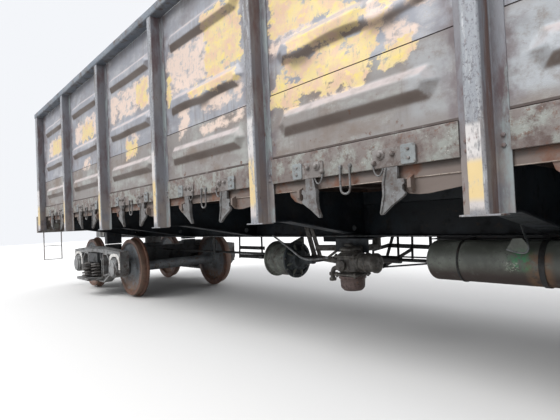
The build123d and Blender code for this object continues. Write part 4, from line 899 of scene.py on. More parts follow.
foot_plate_half = 0.0975
bolt_levels = (1.455, 1.505)
for side, _ in sides:
    near, far = sorted((side * half_outer, side * half_width))
    out = (0, side, 0)
    for x in post_spots:
        post_surfaces.append(slab((x - foot_plate_half, near, post_bottom),
                                  (x + foot_plate_half, far, post_bottom + foot_plate)))
        for flank in (-1, 1):
            for level in bolt_levels:
                bolt_foot = (x + flank * 0.090, side * (half_outer + 0.008), level)
                post_surfaces.append(dome(bolt_foot, out, 0.013, 0.011, 6))
            rivet_foot = (x + flank * 0.03, side * (half_width - 0.004), wall_top - 0.10)
            post_surfaces.append(dome(rivet_foot, out, 0.010, 0.009, 8))

# Corner posts are closed boxes beyond the ends of the side walls
corner_low, corner_length = rail_top + 1.120, 0.150
corner_heights = np.linspace(corner_low, wall_top, 30)
for side, _ in sides:
    for end in (-1, 1):
        near, far = sorted((side * half_inner, side * half_width))
        low_x, high_x = sorted((end * wall_end, end * (wall_end + corner_length)))
        ring = rounded([(low_x, near), (high_x, near), (high_x, far), (low_x, far)], 0.012)
        post_surfaces.append(tube(np.stack([np.column_stack([ring, np.full(len(ring), z)])
                                            for z in corner_heights])))
make_piece("hat_posts", post_surfaces, "post", stands_for=["posts"])
print("post surfaces", len(post_surfaces))

# %% [markdown]
# ## Chords
# The top chord is a rolled box, the lower chord an angle whose long leg hangs down over the hatches'
# edges. Both are profiles carried along the wagon. A loaded wagon is never quite straight, so a slow
# wave of a millimetre or two goes along them, and the light breaks on it as on old steel.

# %% Bars along the wagon
def lengthwise_bar(outline, start, stop, side, steps, seed, wave=0.0015):
    """A profile of (outward, up) carried along X, pushed gently inwards by the size of two seeded waves."""
    along = np.linspace(start, stop, steps)[:, None]
    draw = np.random.default_rng(seed)
    push = wave * (np.sin(3.1 * along + draw.uniform(0, 6)) + 0.6 * np.sin(11 * along + draw.uniform(0, 6)))
    push = push * smooth_step(along - start, 0, 0.1) * smooth_step(stop - along, 0, 0.1)
    y = side * (outline[:, 0][None, :] - np.abs(push))
    return tube(np.stack([along + 0 * y, y, outline[:, 1][None, :] + 0 * along], -1))


chord_low, chord_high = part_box("top_chords")
chord_outer = chord_high.y
top_chord_outline = rounded([(half_inner, chord_low.z), (chord_outer, chord_low.z),
                             (chord_outer, chord_high.z), (half_inner, chord_high.z)], 0.014)
for side, side_name in sides:
    make_piece(f"top_chord_{side_name}",
               [lengthwise_bar(top_chord_outline, chord_low.x, chord_high.x, side, 160, seed=3 + side)],
               "top_chord", stands_for=["top_chords"])

chord_gap, leg_thick = 0.006, 0.016
leg_top = chord_top - chord_gap
leg_outline = rounded([(half_outer, chord_bottom), (half_outer + leg_thick, chord_bottom),
                       (half_outer + leg_thick, leg_top), (half_outer, leg_top)], 0.0035)
seat_low, seat_high, seat_wide = 1.444, 1.456, 0.046
seat_outline = rounded([(half_outer - seat_wide, seat_low), (half_outer, seat_low),
                        (half_outer, seat_high), (half_outer - seat_wide, seat_high)], 0.002)
chord_edges = [-wall_end, *[x + s * post_flange / 2 for x in post_spots for s in (-1, 1)], wall_end]
for side, side_name in sides:
    bars = []
    for number, (start, stop) in enumerate(zip(chord_edges[::2], chord_edges[1::2])):
        bars.append(lengthwise_bar(leg_outline, start, stop, side, 40, seed=20 + number, wave=0.001))
        bars.append(lengthwise_bar(seat_outline, max(-half_inside, start), min(half_inside, stop), side, 4,
                                   seed=0, wave=0))
    make_piece(f"lower_chord_{side_name}", bars, "lower_chord", stands_for=["lower_chords"])
print("lower chord bars", len(bars))


# %% [markdown]
# ## Latches
# Two cast claws in each bay hold a hatch shut: each hangs from a plate on the chord, and on the real
# wagon its tooth sits under a lug of the hatch. Beside them hang a wire hook and, in the middle of the
# bay, a loop on two studs. A claw is an outline with thickness, and a Bevel modifier softens its edges
# as sand casting does.

# %% Plates cut to an outline
def cut_plate(outline, side, near, gauge):
    """A flat piece cut to an outline of (along, up), from a distance outwards and gauge thick."""
    outline = np.array(outline, float)
    rings = [np.column_stack([outline[:, 0], np.full(len(outline), side * y), outline[:, 1]])
             for y in (near, near + gauge)]
    return tube(np.array(rings))


def flat_bar(start, stop, wide, thick, face):
    """A flat bar from point to point: its wide side looks along face, and its edges are eased."""
    start, stop = np.array(start, float), np.array(stop, float)
    heading = (stop - start) / np.linalg.norm(stop - start)
    across = np.cross(heading, face)
    across /= np.linalg.norm(across)
    outward = np.cross(across, heading)
    ring = rounded([(-wide / 2, -thick / 2), (wide / 2, -thick / 2), (wide / 2, thick / 2),
                    (-wide / 2, thick / 2)], 0.2 * min(wide, thick), 3)
    section = ring[:, :1] * across + ring[:, 1:] * outward
    return tube(np.stack([start + section, stop + section]))


def ease_edges(made, width, segments=2, angle=35):
    """Rounds the sharp edges of a piece with a live Bevel modifier."""
    bevel = made.modifiers.new("eased edges", "BEVEL")
    bevel.width = width
    bevel.segments = segments
    bevel.limit_method = "ANGLE"
    bevel.angle_limit = math.radians(angle)
    bevel.harden_normals = False
    return made


def bent_rod(path, radius, corner_count=10, smooth=3):
    """A round bar along a path whose corners are cut a quarter along their runs, smooth times over.

    Each ring of the bar stands square to the path, turned from one fixed direction."""
    points = np.array(path, float)
    for _ in range(smooth):
        early = np.vstack([points[:1], 0.75 * points[:-1] + 0.25 * points[1:], points[-1:]])
        late = 0.25 * points[:-1] + 0.75 * points[1:]
        points = np.vstack([early[:1], np.stack([early[1:-1], late], 1).reshape(-1, 3), early[-1:]])
    heading = np.gradient(points, axis=0)
    heading /= np.linalg.norm(heading, axis=1, keepdims=True)
    nearly_upright = np.abs(heading[:, 2]).max() >= 0.95
    reference = np.array([0.31, 0.95, 0.05] if nearly_upright else [0.0, 0.0, 1.0])
    across = np.cross(heading, reference)
    across /= np.linalg.norm(across, axis=1, keepdims=True)
    other = np.cross(heading, across)
    turn = np.linspace(0, 2 * math.pi, corner_count, endpoint=False)[None, :, None]
    return tube(points[:, None] + radius * (np.cos(turn) * across[:, None] + np.sin(turn) * other[:, None]))


print("points in a straight rod", len(bent_rod([(0, 0, 0), (1, 0, 0)], 0.01)[0]))

# %% Outlines of one latch
# Places are millimetres along the bay for one hand, and levels are millimetres above the rail
def outline_mm(points, radius, steps=3):
    """Rounded outline in metres, from points in millimetres along the bay and above the rail."""
    return rounded([(u / 1000, rail_top + level / 1000) for u, level in points], radius, steps)


def plate_outline(low_u, high_u, low_level, high_level, radius):
    """A rectangle with round corners, from the same millimetres."""
    corners = [(low_u, low_level), (high_u, low_level), (high_u, high_level), (low_u, high_level)]
    return outline_mm(corners, radius, 4)


claw_outline = outline_mm([
    (300, 1398), (376, 1398), (374, 1345), (370, 1326), (412, 1324), (418, 1296), (404, 1288),
    (402, 1262), (420, 1240), (412, 1226), (330, 1176), (262, 1122), (246, 1120), (241, 1132),
    (262, 1180), (272, 1236), (266, 1308), (286, 1350)], 0.004)
rib_outline = outline_mm([
    (292, 1398), (306, 1398), (284, 1310), (284, 1236), (256, 1130), (246, 1132), (270, 1236),
    (270, 1310)], 0.003)
base_outline = plate_outline(205, 500, 1401, 1512, 0.012)
pale_outline = plate_outline(404, 498, 1404, 1518, 0.014)
# Rivets and studs: place and level, then radius, height, corners and foot above the chord's face
rivet_table = (
    (262, 1478, 0.030, 0.012, 20, 0.007), (262, 1478, 0.018, 0.016, 14, 0.018),
    (346, 1476, 0.017, 0.022, 6, 0.007), (452, 1488, 0.0095, 0.008, 12, 0.014),
    (455, 1436, 0.0095, 0.008, 12, 0.014), (214, 1436, 0.017, 0.020, 12, 0.004))
hook_line = ((206, 1432), (212, 1390), (232, 1356), (256, 1354), (272, 1376), (280, 1396))
loop_line = ((-38, 1452), (-40, 1380), (-40, 1308), (-34, 1282), (-16, 1270), (0, 1268), (16, 1270),
             (34, 1282), (40, 1308), (40, 1380), (38, 1452))
stud_spots, stud_level = (-40, 40), 1447
print("points round a claw", len(claw_outline))

# %% Latches of every bay
chord_face, claw_face = half_outer + leg_thick, half_outer + 0.002
claw_thick, rib_thick, plate_thick = 0.024, 0.008, 0.007
hook_out, hook_radius = 0.010, 0.0055
loop_shift, loop_radius = -0.015, 0.0075


def mirrored(outline, middle, hand):
    """The outline set out from the middle of a bay towards one hand."""
    return np.column_stack([middle + hand * outline[:, 0], outline[:, 1]])


def latch_point(middle, hand, side, u, level, out):
    """A point of a latch, from its distance along the bay, its level and its distance out."""
    return (middle + hand * u / 1000, side * out, rail_top + level / 1000)


for side, side_name in sides:
    out = (0, side, 0)
    claws, plates, pale_plates, loops, hooks = [], [], [], [], []
    for middle in bay_spots:
        for hand in (-1, 1):
            for cut_pieces, outline, near, thick in (
                    (claws, claw_outline, claw_face, claw_thick),
                    (claws, rib_outline, claw_face + claw_thick, rib_thick),
                    (plates, base_outline, chord_face, plate_thick),
                    (pale_plates, pale_outline, chord_face + plate_thick, plate_thick)):
                cut_pieces.append(cut_plate(mirrored(outline, middle, hand), side, near, thick))
            for u, level, radius, height, count, foot in rivet_table:
                place = latch_point(middle, hand, side, u, level, chord_face + foot)
                plates.append(dome(place, out, radius, height, count))
            hooks.append(bent_rod([latch_point(middle, hand, side, u, level, chord_face + hook_out)
                                   for u, level in hook_line], hook_radius, 8, smooth=2))
        loop_middle = middle + loop_shift
        loops.append(bent_rod([latch_point(loop_middle, 1, side, u, level, chord_face + loop_radius)
                               for u, level in loop_line], loop_radius, 10, smooth=2))
        for u in stud_spots:
            place = latch_point(loop_middle, 1, side, u, stud_level, chord_face)
            loops.append(dome(place, out, 0.015, 0.0135, 10))
    eased_claws = make_piece(f"latch_claws_{side_name}", claws, "latch", stands_for=["latch_claws"])
    ease_edges(eased_claws, 0.003)
    make_piece(f"latch_base_plates_{side_name}", plates, "latch_plate", stands_for=["latch_plates"])
    eased_plates = make_piece(f"latch_pale_plates_{side_name}", pale_plates, "pale_plate")
    ease_edges(eased_plates, 0.0012)
    make_piece(f"latch_loops_{side_name}", loops, "latch", stands_for=["latch_plates"])
    make_piece(f"latch_hooks_{side_name}", hooks, "latch")
print("claws on a side", len(claws) // 2)


# %% [markdown]
# ## Softened copies of the construction's solids
# Castings and welded beams keep the construction's shape, but a real edge is never razor sharp. A copy
# of the node is merged, its flat faces are joined, and a Bevel modifier rolls every sharp edge over.

# %% Copy a node, merge it, and round its edges
def softened(node, width, finish, segments=2, sharp=40):
    """A copy of a construction node with merged corners, joined flat faces and rounded edges."""
    mesh = frame["nodes"][node].data.copy()
    shaper = bmesh.new()
    shaper.from_mesh(mesh)
    bmesh.ops.remove_doubles(shaper, verts=shaper.verts, dist=0.00005)
    bmesh.ops.dissolve_limit(shaper, angle_limit=math.radians(1.0), verts=shaper.verts, edges=shaper.edges)
    shaper.to_mesh(mesh)
    shaper.free()
    made = finish_piece(f"{node}_softened", mesh, finish, body_of_node[node], [node], sharp)
    return ease_edges(made, width, segments)


# Each hatch's lower edge is rubbed to a bright lip that sags a little in its middle
lip_level, lip_sag, lip_radius, lip_end = 1.355, 0.0015, 0.0045, 0.02
for number, middle in enumerate(bay_spots, start=1):
    for side, side_name in sides:
        node = f"hatch_{side_name}_{number}"
        softened(node, 0.003, "hatch")
        low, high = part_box(node)
        lip_y = side * (hatch_edge - 0.004)
        lip = bent_rod([(low.x + lip_end, lip_y, lip_level), (middle, lip_y, lip_level - lip_sag),
                        (high.x - lip_end, lip_y, lip_level)], lip_radius, 8, smooth=1)
        make_piece(f"hatch_lip_{side_name}_{number}", [lip], "rubbed_lip", body=body_of_node[node])
for end_name in ("rear", "front"):
    softened(f"side_frames_{end_name}", 0.010, "cast", segments=3)
    softened(f"bogie_bolster_{end_name}", 0.008, "dark_cast")
    softened(f"axle_boxes_{end_name}", 0.005, "box_cast")
    softened(f"brake_beams_{end_name}", 0.005, "dark_cast")
    softened(f"end_wall_{end_name}", 0.003, "wall_sheet")
for node, width, finish in (("couplers", 0.009, "cast"), ("end_beams", 0.004, "lower_chord"),
                            ("steps_and_ladders", 0.0015, "post"), ("cross_beams", 0.003, "underframe"),
                            ("body_bolsters", 0.003, "underframe"), ("centre_sill", 0.003, "underframe"),
                            ("hatch_hinges", 0.003, "underframe"), ("centre_plates", 0.003, "cast"),
                            ("uncoupling_levers", 0.001, "brake"), ("brake_rods", 0.002, "strap"),
                            ("brake_pipe", 0.001, "strap")):
    softened(node, width, finish)
print("softened copies in place")


# %% [markdown]
# ## Wheelsets
# Wheels are rolled, then turned on a lathe, so a wheel is a profile spun about its axle. The tread and
# the flange are polished by the rail and rust within days; the face keeps a dark skin with a rusty rim.

# %% Lathe
def spun(profile, centre, steps=72, axle=1):
    """A closed profile of (across, radius) spun about an axis through a centre: 0 is X, 1 is Y, 2 is Z."""
    across, radius = np.array(profile, float).T[:, None, :]
    turn = np.linspace(0, 2 * math.pi, steps, endpoint=False)[:, None]
    places = [radius * np.cos(turn), radius * np.sin(turn)]
    places.insert(axle, across + 0 * turn)
    return weave(np.stack(places, -1) + np.array(centre, float), around=True, closed=True)


# Radii of the tread, the flange's tip and the rim's inner edge, then distances from the track's middle
tread_radius, flange_tip, rim_inner = 0.460, 0.488, 0.398
gauge_back, rim_face, hub_middle = 0.720, 0.850, 0.785
wheel_profile = rounded(
    [(gauge_back, rim_inner), (gauge_back, flange_tip), (gauge_back + 0.030, flange_tip),
     (gauge_back + 0.036, tread_radius + 0.002), (rim_face, tread_radius - 0.005), (rim_face, rim_inner),
     (hub_middle + 0.037, 0.372), (hub_middle + 0.013, 0.177), (0.880, 0.132), (0.880, 0.098), (0.690, 0.098),
     (0.690, 0.132), (hub_middle - 0.013, 0.177), (hub_middle + 0.011, 0.372)],
    [0.004, 0.009, 0.012, 0.012, 0.007, 0.008, 0.030, 0.040, 0.008, 0.002, 0.002, 0.008, 0.040, 0.030])
axle_profile = rounded([(-1.130, 0.002), (-1.130, 0.064), (-0.900, 0.065), (-0.880, 0.097), (-0.678, 0.097),
                        (-0.655, 0.083), (0.655, 0.083), (0.678, 0.097), (0.880, 0.097), (0.900, 0.065),
                        (1.130, 0.064), (1.130, 0.002)],
                       [0.0005, 0.006, 0.01, 0.003, 0.003, 0.01, 0.01, 0.003, 0.003, 0.01, 0.006, 0.0005], 4)
wheel_centre_z = rail_top + tread_radius
for number in range(1, 5):
    low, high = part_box(f"wheels_{number}")
    centre = ((low.x + high.x) / 2, 0, wheel_centre_z)
    outward = [spun(np.column_stack([side * wheel_profile[:, 0], wheel_profile[:, 1]]), centre)
               for side, _ in sides]
    corners = np.vstack([own for own, _ in outward])
    from_axle = np.hypot(corners[:, 0] - centre[0], corners[:, 2] - centre[2])
    make_piece(f"wheel_pair_{number}", outward, "wheel", body=f"wheelset_{number}",
               stands_for=[f"wheels_{number}"], sharp=30,
               values={"rim": smooth_step(from_axle, 0.385, 0.41),
                       "rim_edge": 0.7 * np.exp(-((from_axle - tread_radius + 0.006) / 0.004) ** 2)})
    make_piece(f"axle_turned_{number}", [spun(axle_profile, centre, 48)], "wheel", body=f"wheelset_{number}",
               stands_for=[f"axle_{number}"], sharp=30)
print("wheel profile points", len(wheel_profile))


# %% [markdown]
# ## Springs
# A nest holds seven double springs: an outer coil of 30 mm bar round an inner one of 20 mm bar. A coil is
# a circle carried along a helix. The angle grows evenly, and the height more slowly at both ends, where
# a real spring's last turn is bent flat.

# %% Coils
def coil(foot, radius, bar, height, turns, steps, corner_count):
    """A bar along a helix: its rise is slowed at both ends by a sine, so that the end turns lie closer."""
    share = np.linspace(0, 1, int(turns * steps) + 1)
    climb = share - 0.06 * np.sin(2 * math.pi * share)
    angle = 2 * math.pi * turns * share
    points = np.column_stack([foot[0] + radius * np.cos(angle), foot[1] + radius * np.sin(angle),
                              foot[2] + bar + (height - 2 * bar) * climb])
    heading = np.gradient(points, axis=0)
    heading /= np.linalg.norm(heading, axis=1, keepdims=True)
    outward = np.column_stack([np.cos(angle), np.sin(angle), 0 * angle])
    upward = np.cross(heading, outward)
    turn = np.linspace(0, 2 * math.pi, corner_count, endpoint=False)[None, :, None]
    return tube(points[:, None] + bar * (np.cos(turn) * outward[:, None] + np.sin(turn) * upward[:, None]))


nest_rows = ((-0.173, 2), (0, 3), (0.173, 2))
journal_middle, spring_pitch = 1.018, 0.200
spring_foot, spring_height = rail_top + 0.285, 0.245
# Mean radius, bar radius, number of turns, steps in a turn and corners of the bar
coil_table = ((0.083, 0.0148, 5, 18, 8), (0.048, 0.010, 8, 12, 6))
bogie_spots = {}
for end_name in ("rear", "front"):
    low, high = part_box(f"springs_{end_name}")
    bogie_x = (low.x + high.x) / 2
    bogie_spots[end_name] = bogie_x
    coils = []
    for side, _ in sides:
        for offset, count in nest_rows:
            for n in range(count):
                y = side * (journal_middle + spring_pitch * (n - (count - 1) / 2))
                for radius, bar, turns, steps, corner_count in coil_table:
                    coils.append(coil((bogie_x + offset, y, spring_foot), radius, bar, spring_height, turns,
                                      steps, corner_count))
    make_piece(f"spring_coils_{end_name}", coils, "spring", body=f"bogie_{end_name}",
               stands_for=[f"springs_{end_name}"])
print("coils in a bogie", len(coils))

# %% [markdown]
# ## Floor strips
# Between each end wall and its outermost hatch the real floor has a narrow fixed plate. It is a plain
# slab with eased edges.

# %% Floor strips between the end walls and the outermost hatches
floor_top = rail_top + 1.414
strips = []
for end in (-1, 1):
    low_x, high_x = sorted((end * hatch_row_end, end * (half_inside + 0.003)))
    strips.append(slab((low_x, -half_inner + 0.005, floor_top - 0.012),
                       (high_x, half_inner - 0.005, floor_top - 0.001)))
make_piece("floor_end_strips", strips, "hatch")
print("floor strips", len(strips))

# %% [markdown]
# ## Crests and adapters of the side frames
# The top member of a cast side frame is arched and rounded, which shows in the light along it. In each
# jaw a white rim stands over the axle box. The crest is a section carried along an arch, and the rim is
# a flat band between two outlines, the outer one wider and higher than the inner.

# %% Crests and bright adapters
def crest(centre_x, side, top_middle=0.800, top_end=0.744, half_length=1.158, thick=0.095, half_wide=0.064):
    """The rounded top member of a cast frame: its level is a cosine arch, its outer side slopes down."""
    along = np.linspace(-half_length, half_length, 41)[:, None]
    arch = np.cos(along / half_length * math.pi / 2) ** 1.3
    level = rail_top + top_end + (top_middle - top_end) * arch
    ring = rounded([(-half_wide, -thick), (half_wide + 0.010, -thick), (half_wide + 0.010, -0.040),
                    (0.004, 0), (-half_wide, 0)], [0.008, 0.010, 0.03, 0.03, 0.02], 6)
    y = side * (journal_middle + ring[:, 0][None, :])
    return tube(np.stack([centre_x + along + 0 * y, y + 0 * along, level + ring[:, 1][None, :]], -1))


adapter_line = [(-0.176, 0.455), (-0.174, 0.530), (-0.150, 0.610), (-0.085, 0.648), (0.000, 0.655),
                (0.085, 0.648), (0.150, 0.610), (0.174, 0.530), (0.176, 0.455)]
half_wheelbase, adapter_face, adapter_thick = 0.925, 1.090, 0.010
adapter_foot, adapter_shoulder, adapter_rise, adapter_widening = 0.455, 0.60, 0.046, (1.32, 1.0)
for end_name, bogie_x in bogie_spots.items():
    make_piece(f"frame_crests_{end_name}", [crest(bogie_x, side) for side, _ in sides], "box_cast",
               body=f"bogie_{end_name}", sharp=50)
    inner = np.array(adapter_line)
    raised = adapter_rise * smooth_step(inner[:, 1], adapter_foot, adapter_shoulder)
    outer = inner * adapter_widening + np.column_stack([0 * raised, raised])
    outline = np.vstack([inner, outer[::-1]])
    adapters = []
    for side, _ in sides:
        for hand in (-1, 1):
            ring = np.column_stack([bogie_x + hand * half_wheelbase + outline[:, 0],
                                    rail_top + outline[:, 1]])
            adapters.append(cut_plate(ring, side, adapter_face, adapter_thick))
    make_piece(f"box_adapters_{end_name}", adapters, "bright", body=f"bogie_{end_name}")
print("adapters in a bogie", len(adapters))

# %% [markdown]
# ## Brake gear
# The brake cylinder is a pressed drum with a ribbed cast cover, hung from the sill. Both are profiles
# spun about the cylinder's axis, with bolt heads round the flange and eight ribs on the cover.

# %% Brake cylinder
def ring_of_bolts(centre, out, radius, count, head=0.010, rise=0.009, start=0.2):
    """Bolt heads evenly round a circle, which stands square to an axis."""
    centre, out = np.array(centre, float), np.array(out, float)
    across = np.array([out[1], out[2], out[0]])
    other = np.cross(out, across)
    return [dome(centre + radius * (math.cos(a) * across + math.sin(a) * other), out, head, rise, 6)
            for a in start + np.linspace(0, 2 * math.pi, count, endpoint=False)]


sill_half, sill_flange_edge, sill_bottom = 0.175, 0.295, rail_top + 0.920
drum_y, drum_z = -0.450, rail_top + 0.690
drum_centre = (0, drum_y, drum_z)
drum_profile = rounded(
    [(-0.172, 0.002), (-0.178, 0.090), (-0.168, 0.170), (-0.168, 0.196), (-0.150, 0.196), (-0.148, 0.175),
     (0.150, 0.176), (0.150, 0.002)],
    [0.0005, 0.02, 0.02, 0.004, 0.004, 0.004, 0.002, 0.0005], 4)
cover_profile = rounded(
    [(0.148, 0.002), (0.148, 0.196), (0.170, 0.196), (0.172, 0.160), (0.156, 0.152), (0.176, 0.112),
     (0.232, 0.104), (0.234, 0.042), (0.413, 0.038), (0.413, 0.002)],
    [0.0005, 0.004, 0.005, 0.003, 0.006, 0.015, 0.008, 0.006, 0.004, 0.0005], 4)
make_piece("brake_cylinder_cover", [spun(cover_profile, drum_centre, 56, axle=0)], "oiled_cover", sharp=30)
cylinder = [spun(drum_profile, drum_centre, 56, axle=0),
            *ring_of_bolts((0.170, drum_y, drum_z), (1, 0, 0), 0.182, 10)]
for angle in np.linspace(0.3, 0.3 + 2 * math.pi, 8, endpoint=False):
    spoke = np.array([0, math.cos(angle), math.sin(angle)])
    cylinder.append(flat_bar(np.array([0.184, drum_y, drum_z]) + 0.10 * spoke,
                             np.array([0.166, drum_y, drum_z]) + 0.166 * spoke, 0.030, 0.014,
                             np.cross((1, 0, 0), spoke)))
hang = np.array([(-0.195, sill_bottom), (-0.570, drum_z + 0.10), (-0.510, drum_z), (-0.390, drum_z),
                 (-0.195, drum_z + 0.10)])
cylinder.append(tube(np.stack([np.column_stack([np.full(5, x), hang]) for x in (-0.02, 0.02)])))
make_piece("brake_cylinder_drum", cylinder, "brake", stands_for=["brake_cylinder"], sharp=30)
print("surfaces of the cylinder", len(cylinder))

# %% [markdown]
# ## Air distributor
# A cluster of castings with a bowl below and a drum towards the front, joined by flanges and pipes. The
# round ones are spun, the flanges and blocks are slabs with eased edges, and the pipes are bent rods.

# %% Distributor: bowl, drum, flanges and pipes
low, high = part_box("air_distributor")
valve = np.array([low.x + 0.125, low.y + 0.115, low.z])


def by_valve(x, y, z):
    """A point given from the foot of the distributor."""
    return valve + np.array([x, y, z])


bucket_profile = rounded([(0.000, 0.002), (0.004, 0.080), (0.030, 0.106), (0.110, 0.112), (0.112, 0.122),
                          (0.135, 0.122), (0.135, 0.002)],
                         [0.0005, 0.02, 0.03, 0.004, 0.003, 0.003, 0.0005], 4)
side_drum_profile = rounded(
    [(0.090, 0.002), (0.090, 0.088), (0.118, 0.088), (0.120, 0.074), (0.170, 0.076), (0.172, 0.086),
     (0.190, 0.086), (0.192, 0.078), (0.252, 0.076), (0.254, 0.086), (0.276, 0.086), (0.300, 0.050),
     (0.300, 0.002)],
    [0.0005, 0.004, 0.004, 0.003, 0.003, 0.003, 0.003, 0.003, 0.003, 0.003, 0.006, 0.01, 0.0005], 3)
make_piece("air_distributor_bowl", [spun(bucket_profile, valve, 40, axle=2)], "bucket")
castings = [
    spun(side_drum_profile, by_valve(0, 0, 0.255), 40, axle=0),
    slab(by_valve(-0.110, -0.100, 0.137), by_valve(0.108, 0.100, 0.366), 0.045),
    slab(by_valve(-0.122, -0.112, 0.135), by_valve(0.122, 0.112, 0.158), 0.006),
    slab(by_valve(-0.120, -0.108, 0.300), by_valve(0.112, 0.112, 0.322), 0.006),
    slab(by_valve(-0.070, -0.090, 0.345), by_valve(0.060, 0.090, 0.392), 0.014),
    flat_bar(by_valve(0, 0.05, 0.365), by_valve(0, 0.365, 0.365), 0.06, 0.058, (0, 0, 1)),
    flat_bar(by_valve(0, 0.395, 0.340), by_valve(0, 0.395, 0.460), 0.058, 0.058, (1, 0, 0)),
    spun(rounded([(0, 0.002), (0, 0.052), (0.030, 0.046), (0.034, 0.002)], [0.0005, 0.008, 0.01, 0.0005], 3),
         by_valve(-0.03, -0.134, 0.235), 24, axle=1),
    *ring_of_bolts(by_valve(0.276, 0, 0.255), (1, 0, 0), 0.068, 6),
    *[dome(by_valve(x, y, z), (0, 0, up), 0.012, 0.012, 6) for x in (-0.1, 0.1) for y in (-0.095, 0.095)
      for z, up in ((0.158, 1), (0.322, 1), (0.135, -1))],
]
make_piece("air_distributor_castings", castings, "brake_cast", stands_for=["air_distributor"], sharp=35)
pipe_table = (
    (((-0.09, -0.05, 0.20), (-0.17, -0.05, 0.20), (-0.19, -0.05, 0.16), (-0.19, -0.05, 0.10)), 0.021),
    (((-0.09, 0.02, 0.26), (-0.20, 0.02, 0.26), (-0.24, 0.06, 0.26), (-0.24, 0.30, 0.30)), 0.017),
    (((0.0, 0.02, 0.38), (-0.05, 0.06, 0.40), (-0.20, 0.16, 0.40), (-0.42, 0.16, 0.27)), 0.013))
pipes = [bent_rod([by_valve(*point) for point in path], radius, 12) for path, radius in pipe_table]
nut_profile = rounded([(0, 0.002), (0, 0.034), (0.03, 0.034), (0.03, 0.002)],
                      [0.0005, 0.006, 0.006, 0.0005], 3)
pipes += [spun(nut_profile, by_valve(-0.19, -0.05, z), 6, axle=2) for z in (0.08, 0.13)]
make_piece("air_distributor_pipes", pipes, "brake_cast")
print("surfaces of the distributor", len(castings) + len(pipes) + 1)

# %% [markdown]
# ## Air reservoir
# A welded tank with domed ends hangs in two straps from a rail under the sill, and a small bracket hangs
# above it, its rim a pale rod that is a painted highlight. The tank is spun, and the straps are rings with
# flat bars up to the rail.

# %% Reservoir, its straps and a bracket
low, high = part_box("air_reservoir")
tank = np.array([low.x, low.y + 0.158, rail_top + 0.760])
tank_length, tank_radius = high.x - low.x, 0.150
tank_profile = rounded([(0, 0.002), (0.004, 0.090), (0.045, tank_radius), (tank_length - 0.045, tank_radius),
                        (tank_length - 0.004, 0.090), (tank_length, 0.002)],
                       [0.0005, 0.05, 0.04, 0.04, 0.05, 0.0005], 6)
tank_skin = [spun(tank_profile, tank, 64, axle=0)]
make_piece("air_reservoir_tank", tank_skin, "reservoir", stands_for=["air_reservoir"], sharp=50)
straps = []
for x, half in ((0.275, 0.007), (tank_length - 0.310, 0.017)):
    straps.append(spun([(x - half, tank_radius - 0.002), (x - half, tank_radius + 0.006),
                        (x + half, tank_radius + 0.006), (x + half, tank_radius - 0.002)], tank, 48, axle=0))
    for foot, top in (((tank_radius, 0), (-tank[1] - sill_half - 0.01, 0.16)),
                      ((0.02, tank_radius), (0.235, 0.165))):
        straps.append(flat_bar(tank + np.array([x, *foot]), tank + np.array([x, *top]), 2 * half, 0.008,
                               (0, 1, -1)))
rail_start, rail_stop = low.x - 0.04, high.x - 0.05
straps.append(flat_bar((rail_start, -0.345, 0.930), (rail_stop, -0.345, 0.930), 0.064, 0.010, (0, 1, 0)))
straps.append(flat_bar((rail_start, -0.385, 0.940), (rail_stop, -0.385, 0.940), 0.090, 0.009, (0, 0, 1)))
make_piece("air_reservoir_straps", straps, "strap")
bracket_outline = rounded([(2.374, 0.890), (2.414, 0.960), (2.470, 0.962), (2.500, 0.922), (2.503, 0.880),
                           (2.470, 0.868), (2.410, 0.877)], [0.006, 0.01, 0.01, 0.006, 0.006, 0.01, 0.01], 4)
# The rim's pale rod is a painted highlight along the bracket's edge
rim_line = [(2.386, -0.460, 1.090), (2.427, -0.520, 0.999), (2.468, -0.600, 0.956), (2.503, -0.668, 0.922),
            (2.505, -0.674, 0.891), (2.492, -0.674, 0.869), (2.457, -0.674, 0.866), (2.411, -0.674, 0.875),
            (2.372, -0.674, 0.890)]
make_piece("hanging_bracket", [cut_plate(bracket_outline, -1, 0.664, 0.010)], "reservoir")
make_piece("hanging_bracket_rim", [bent_rod(rim_line, 0.006, 8, smooth=1)], "rubbed_edge_and_highlight")
print("tank length", round(tank_length, 3), "straps", len(straps))
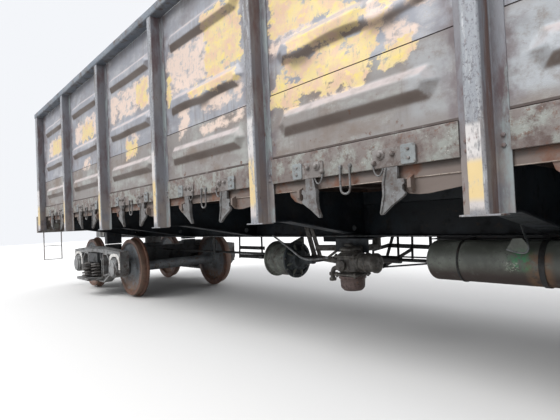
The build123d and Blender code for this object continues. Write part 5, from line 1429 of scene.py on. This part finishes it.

# %% [markdown]
# ## Links below the sill
# Levers, rods and hangers carry the brake's pull along the wagon. In the photograph's light they read as a
# lattice of flat bars, so each is a flat bar from point to point, and the sill's flanges get a bright edge: a
# pale rod that is a painted highlight.

# %% Links, hangers and the lattice below the sill
links = [bent_rod([(0.40, -0.660, 0.775), (0.46, -0.56, 0.760), (0.46, -0.46, 0.750)], 0.012, 8)]
release = bent_rod([(0.03, -0.668, 0.985), (0.26, -0.668, 0.870), (0.47, -0.672, 0.748),
                    (0.62, -0.672, 0.752), (0.80, -0.660, 0.775)], 0.010, 10)
make_piece("release_rod", [release], "rubbed_edge_and_highlight")
make_piece("distributor_carrier", [slab((0.735, -0.475, 0.815), (1.120, -0.460, 0.946), 0.003),
                                   slab((0.735, -0.475, 0.940), (1.120, -0.180, 0.948), 0.003),
                                   slab((0.300, -0.175, 0.890), (0.700, 0.175, 0.947), 0.004)], "underframe")
hangers = [flat_bar((0.215, -0.345, 1.075), (0.330, -0.345, 0.720), 0.062, 0.012, (0, 1, 0)),
           flat_bar((0.330, -0.385, 1.070), (0.440, -0.385, 0.745), 0.050, 0.012, (0, 1, 0)),
           flat_bar((0.300, -0.365, 0.745), (0.640, -0.365, 0.715), 0.055, 0.020, (0, 1, 0)),
           flat_bar((0.40, -0.400, 0.842), (0.78, -0.400, 0.850), 0.060, 0.020, (0, 1, 0)),
           spun([(-0.04, 0.002), (-0.04, 0.018), (0.06, 0.018), (0.06, 0.002)], (0.330, -0.375, 0.742), 12)]
make_piece("lever_hangers", hangers, "brake_cast")
# Start and end along the wagon and up, with the bar's width. All stand in one plane inside the sill's flange
lattice_y, lattice_thick = 0.30, 0.012
lattice = [
    ((0.62, 0.930), (0.60, 0.700), 0.026), ((0.62, 0.775), (0.80, 0.820), 0.040),
    ((0.80, 0.822), (1.30, 0.812), 0.044), ((0.60, 0.702), (1.30, 0.706), 0.016),
    ((0.73, 0.585), (1.30, 0.650), 0.018), ((0.722, 0.585), (1.095, 0.790), 0.034),
    ((0.87, 0.930), (0.745, 0.600), 0.034), ((0.93, 0.930), (0.925, 0.700), 0.026),
    ((1.10, 0.930), (1.09, 0.690), 0.024), ((1.30, 0.930), (1.30, 0.640), 0.030),
    ((-1.90, 0.930), (-1.92, 0.590), 0.030), ((-1.92, 0.752), (-1.30, 0.752), 0.050),
    ((-1.92, 0.622), (-1.30, 0.626), 0.056), ((-1.36, 0.930), (-1.36, 0.600), 0.030),
]
for start, stop, wide in lattice:
    links.append(flat_bar((start[0], lattice_y, start[1]), (stop[0], lattice_y, stop[1]), wide,
                          lattice_thick, (0, 1, 0)))
make_piece("brake_links", links, "strap")

# A pale rod along each flange edge of the sill: a painted highlight
edges = [bent_rod([(x, side * (sill_flange_edge + 0.002), sill_bottom + 0.009)
                   for x in np.linspace(-5.0, 5.0, 30)], 0.0055, 6, smooth=0) for side, _ in sides]
make_piece("sill_edges", edges, "rubbed_edge_and_highlight")
print("bars in the lattice", len(lattice))
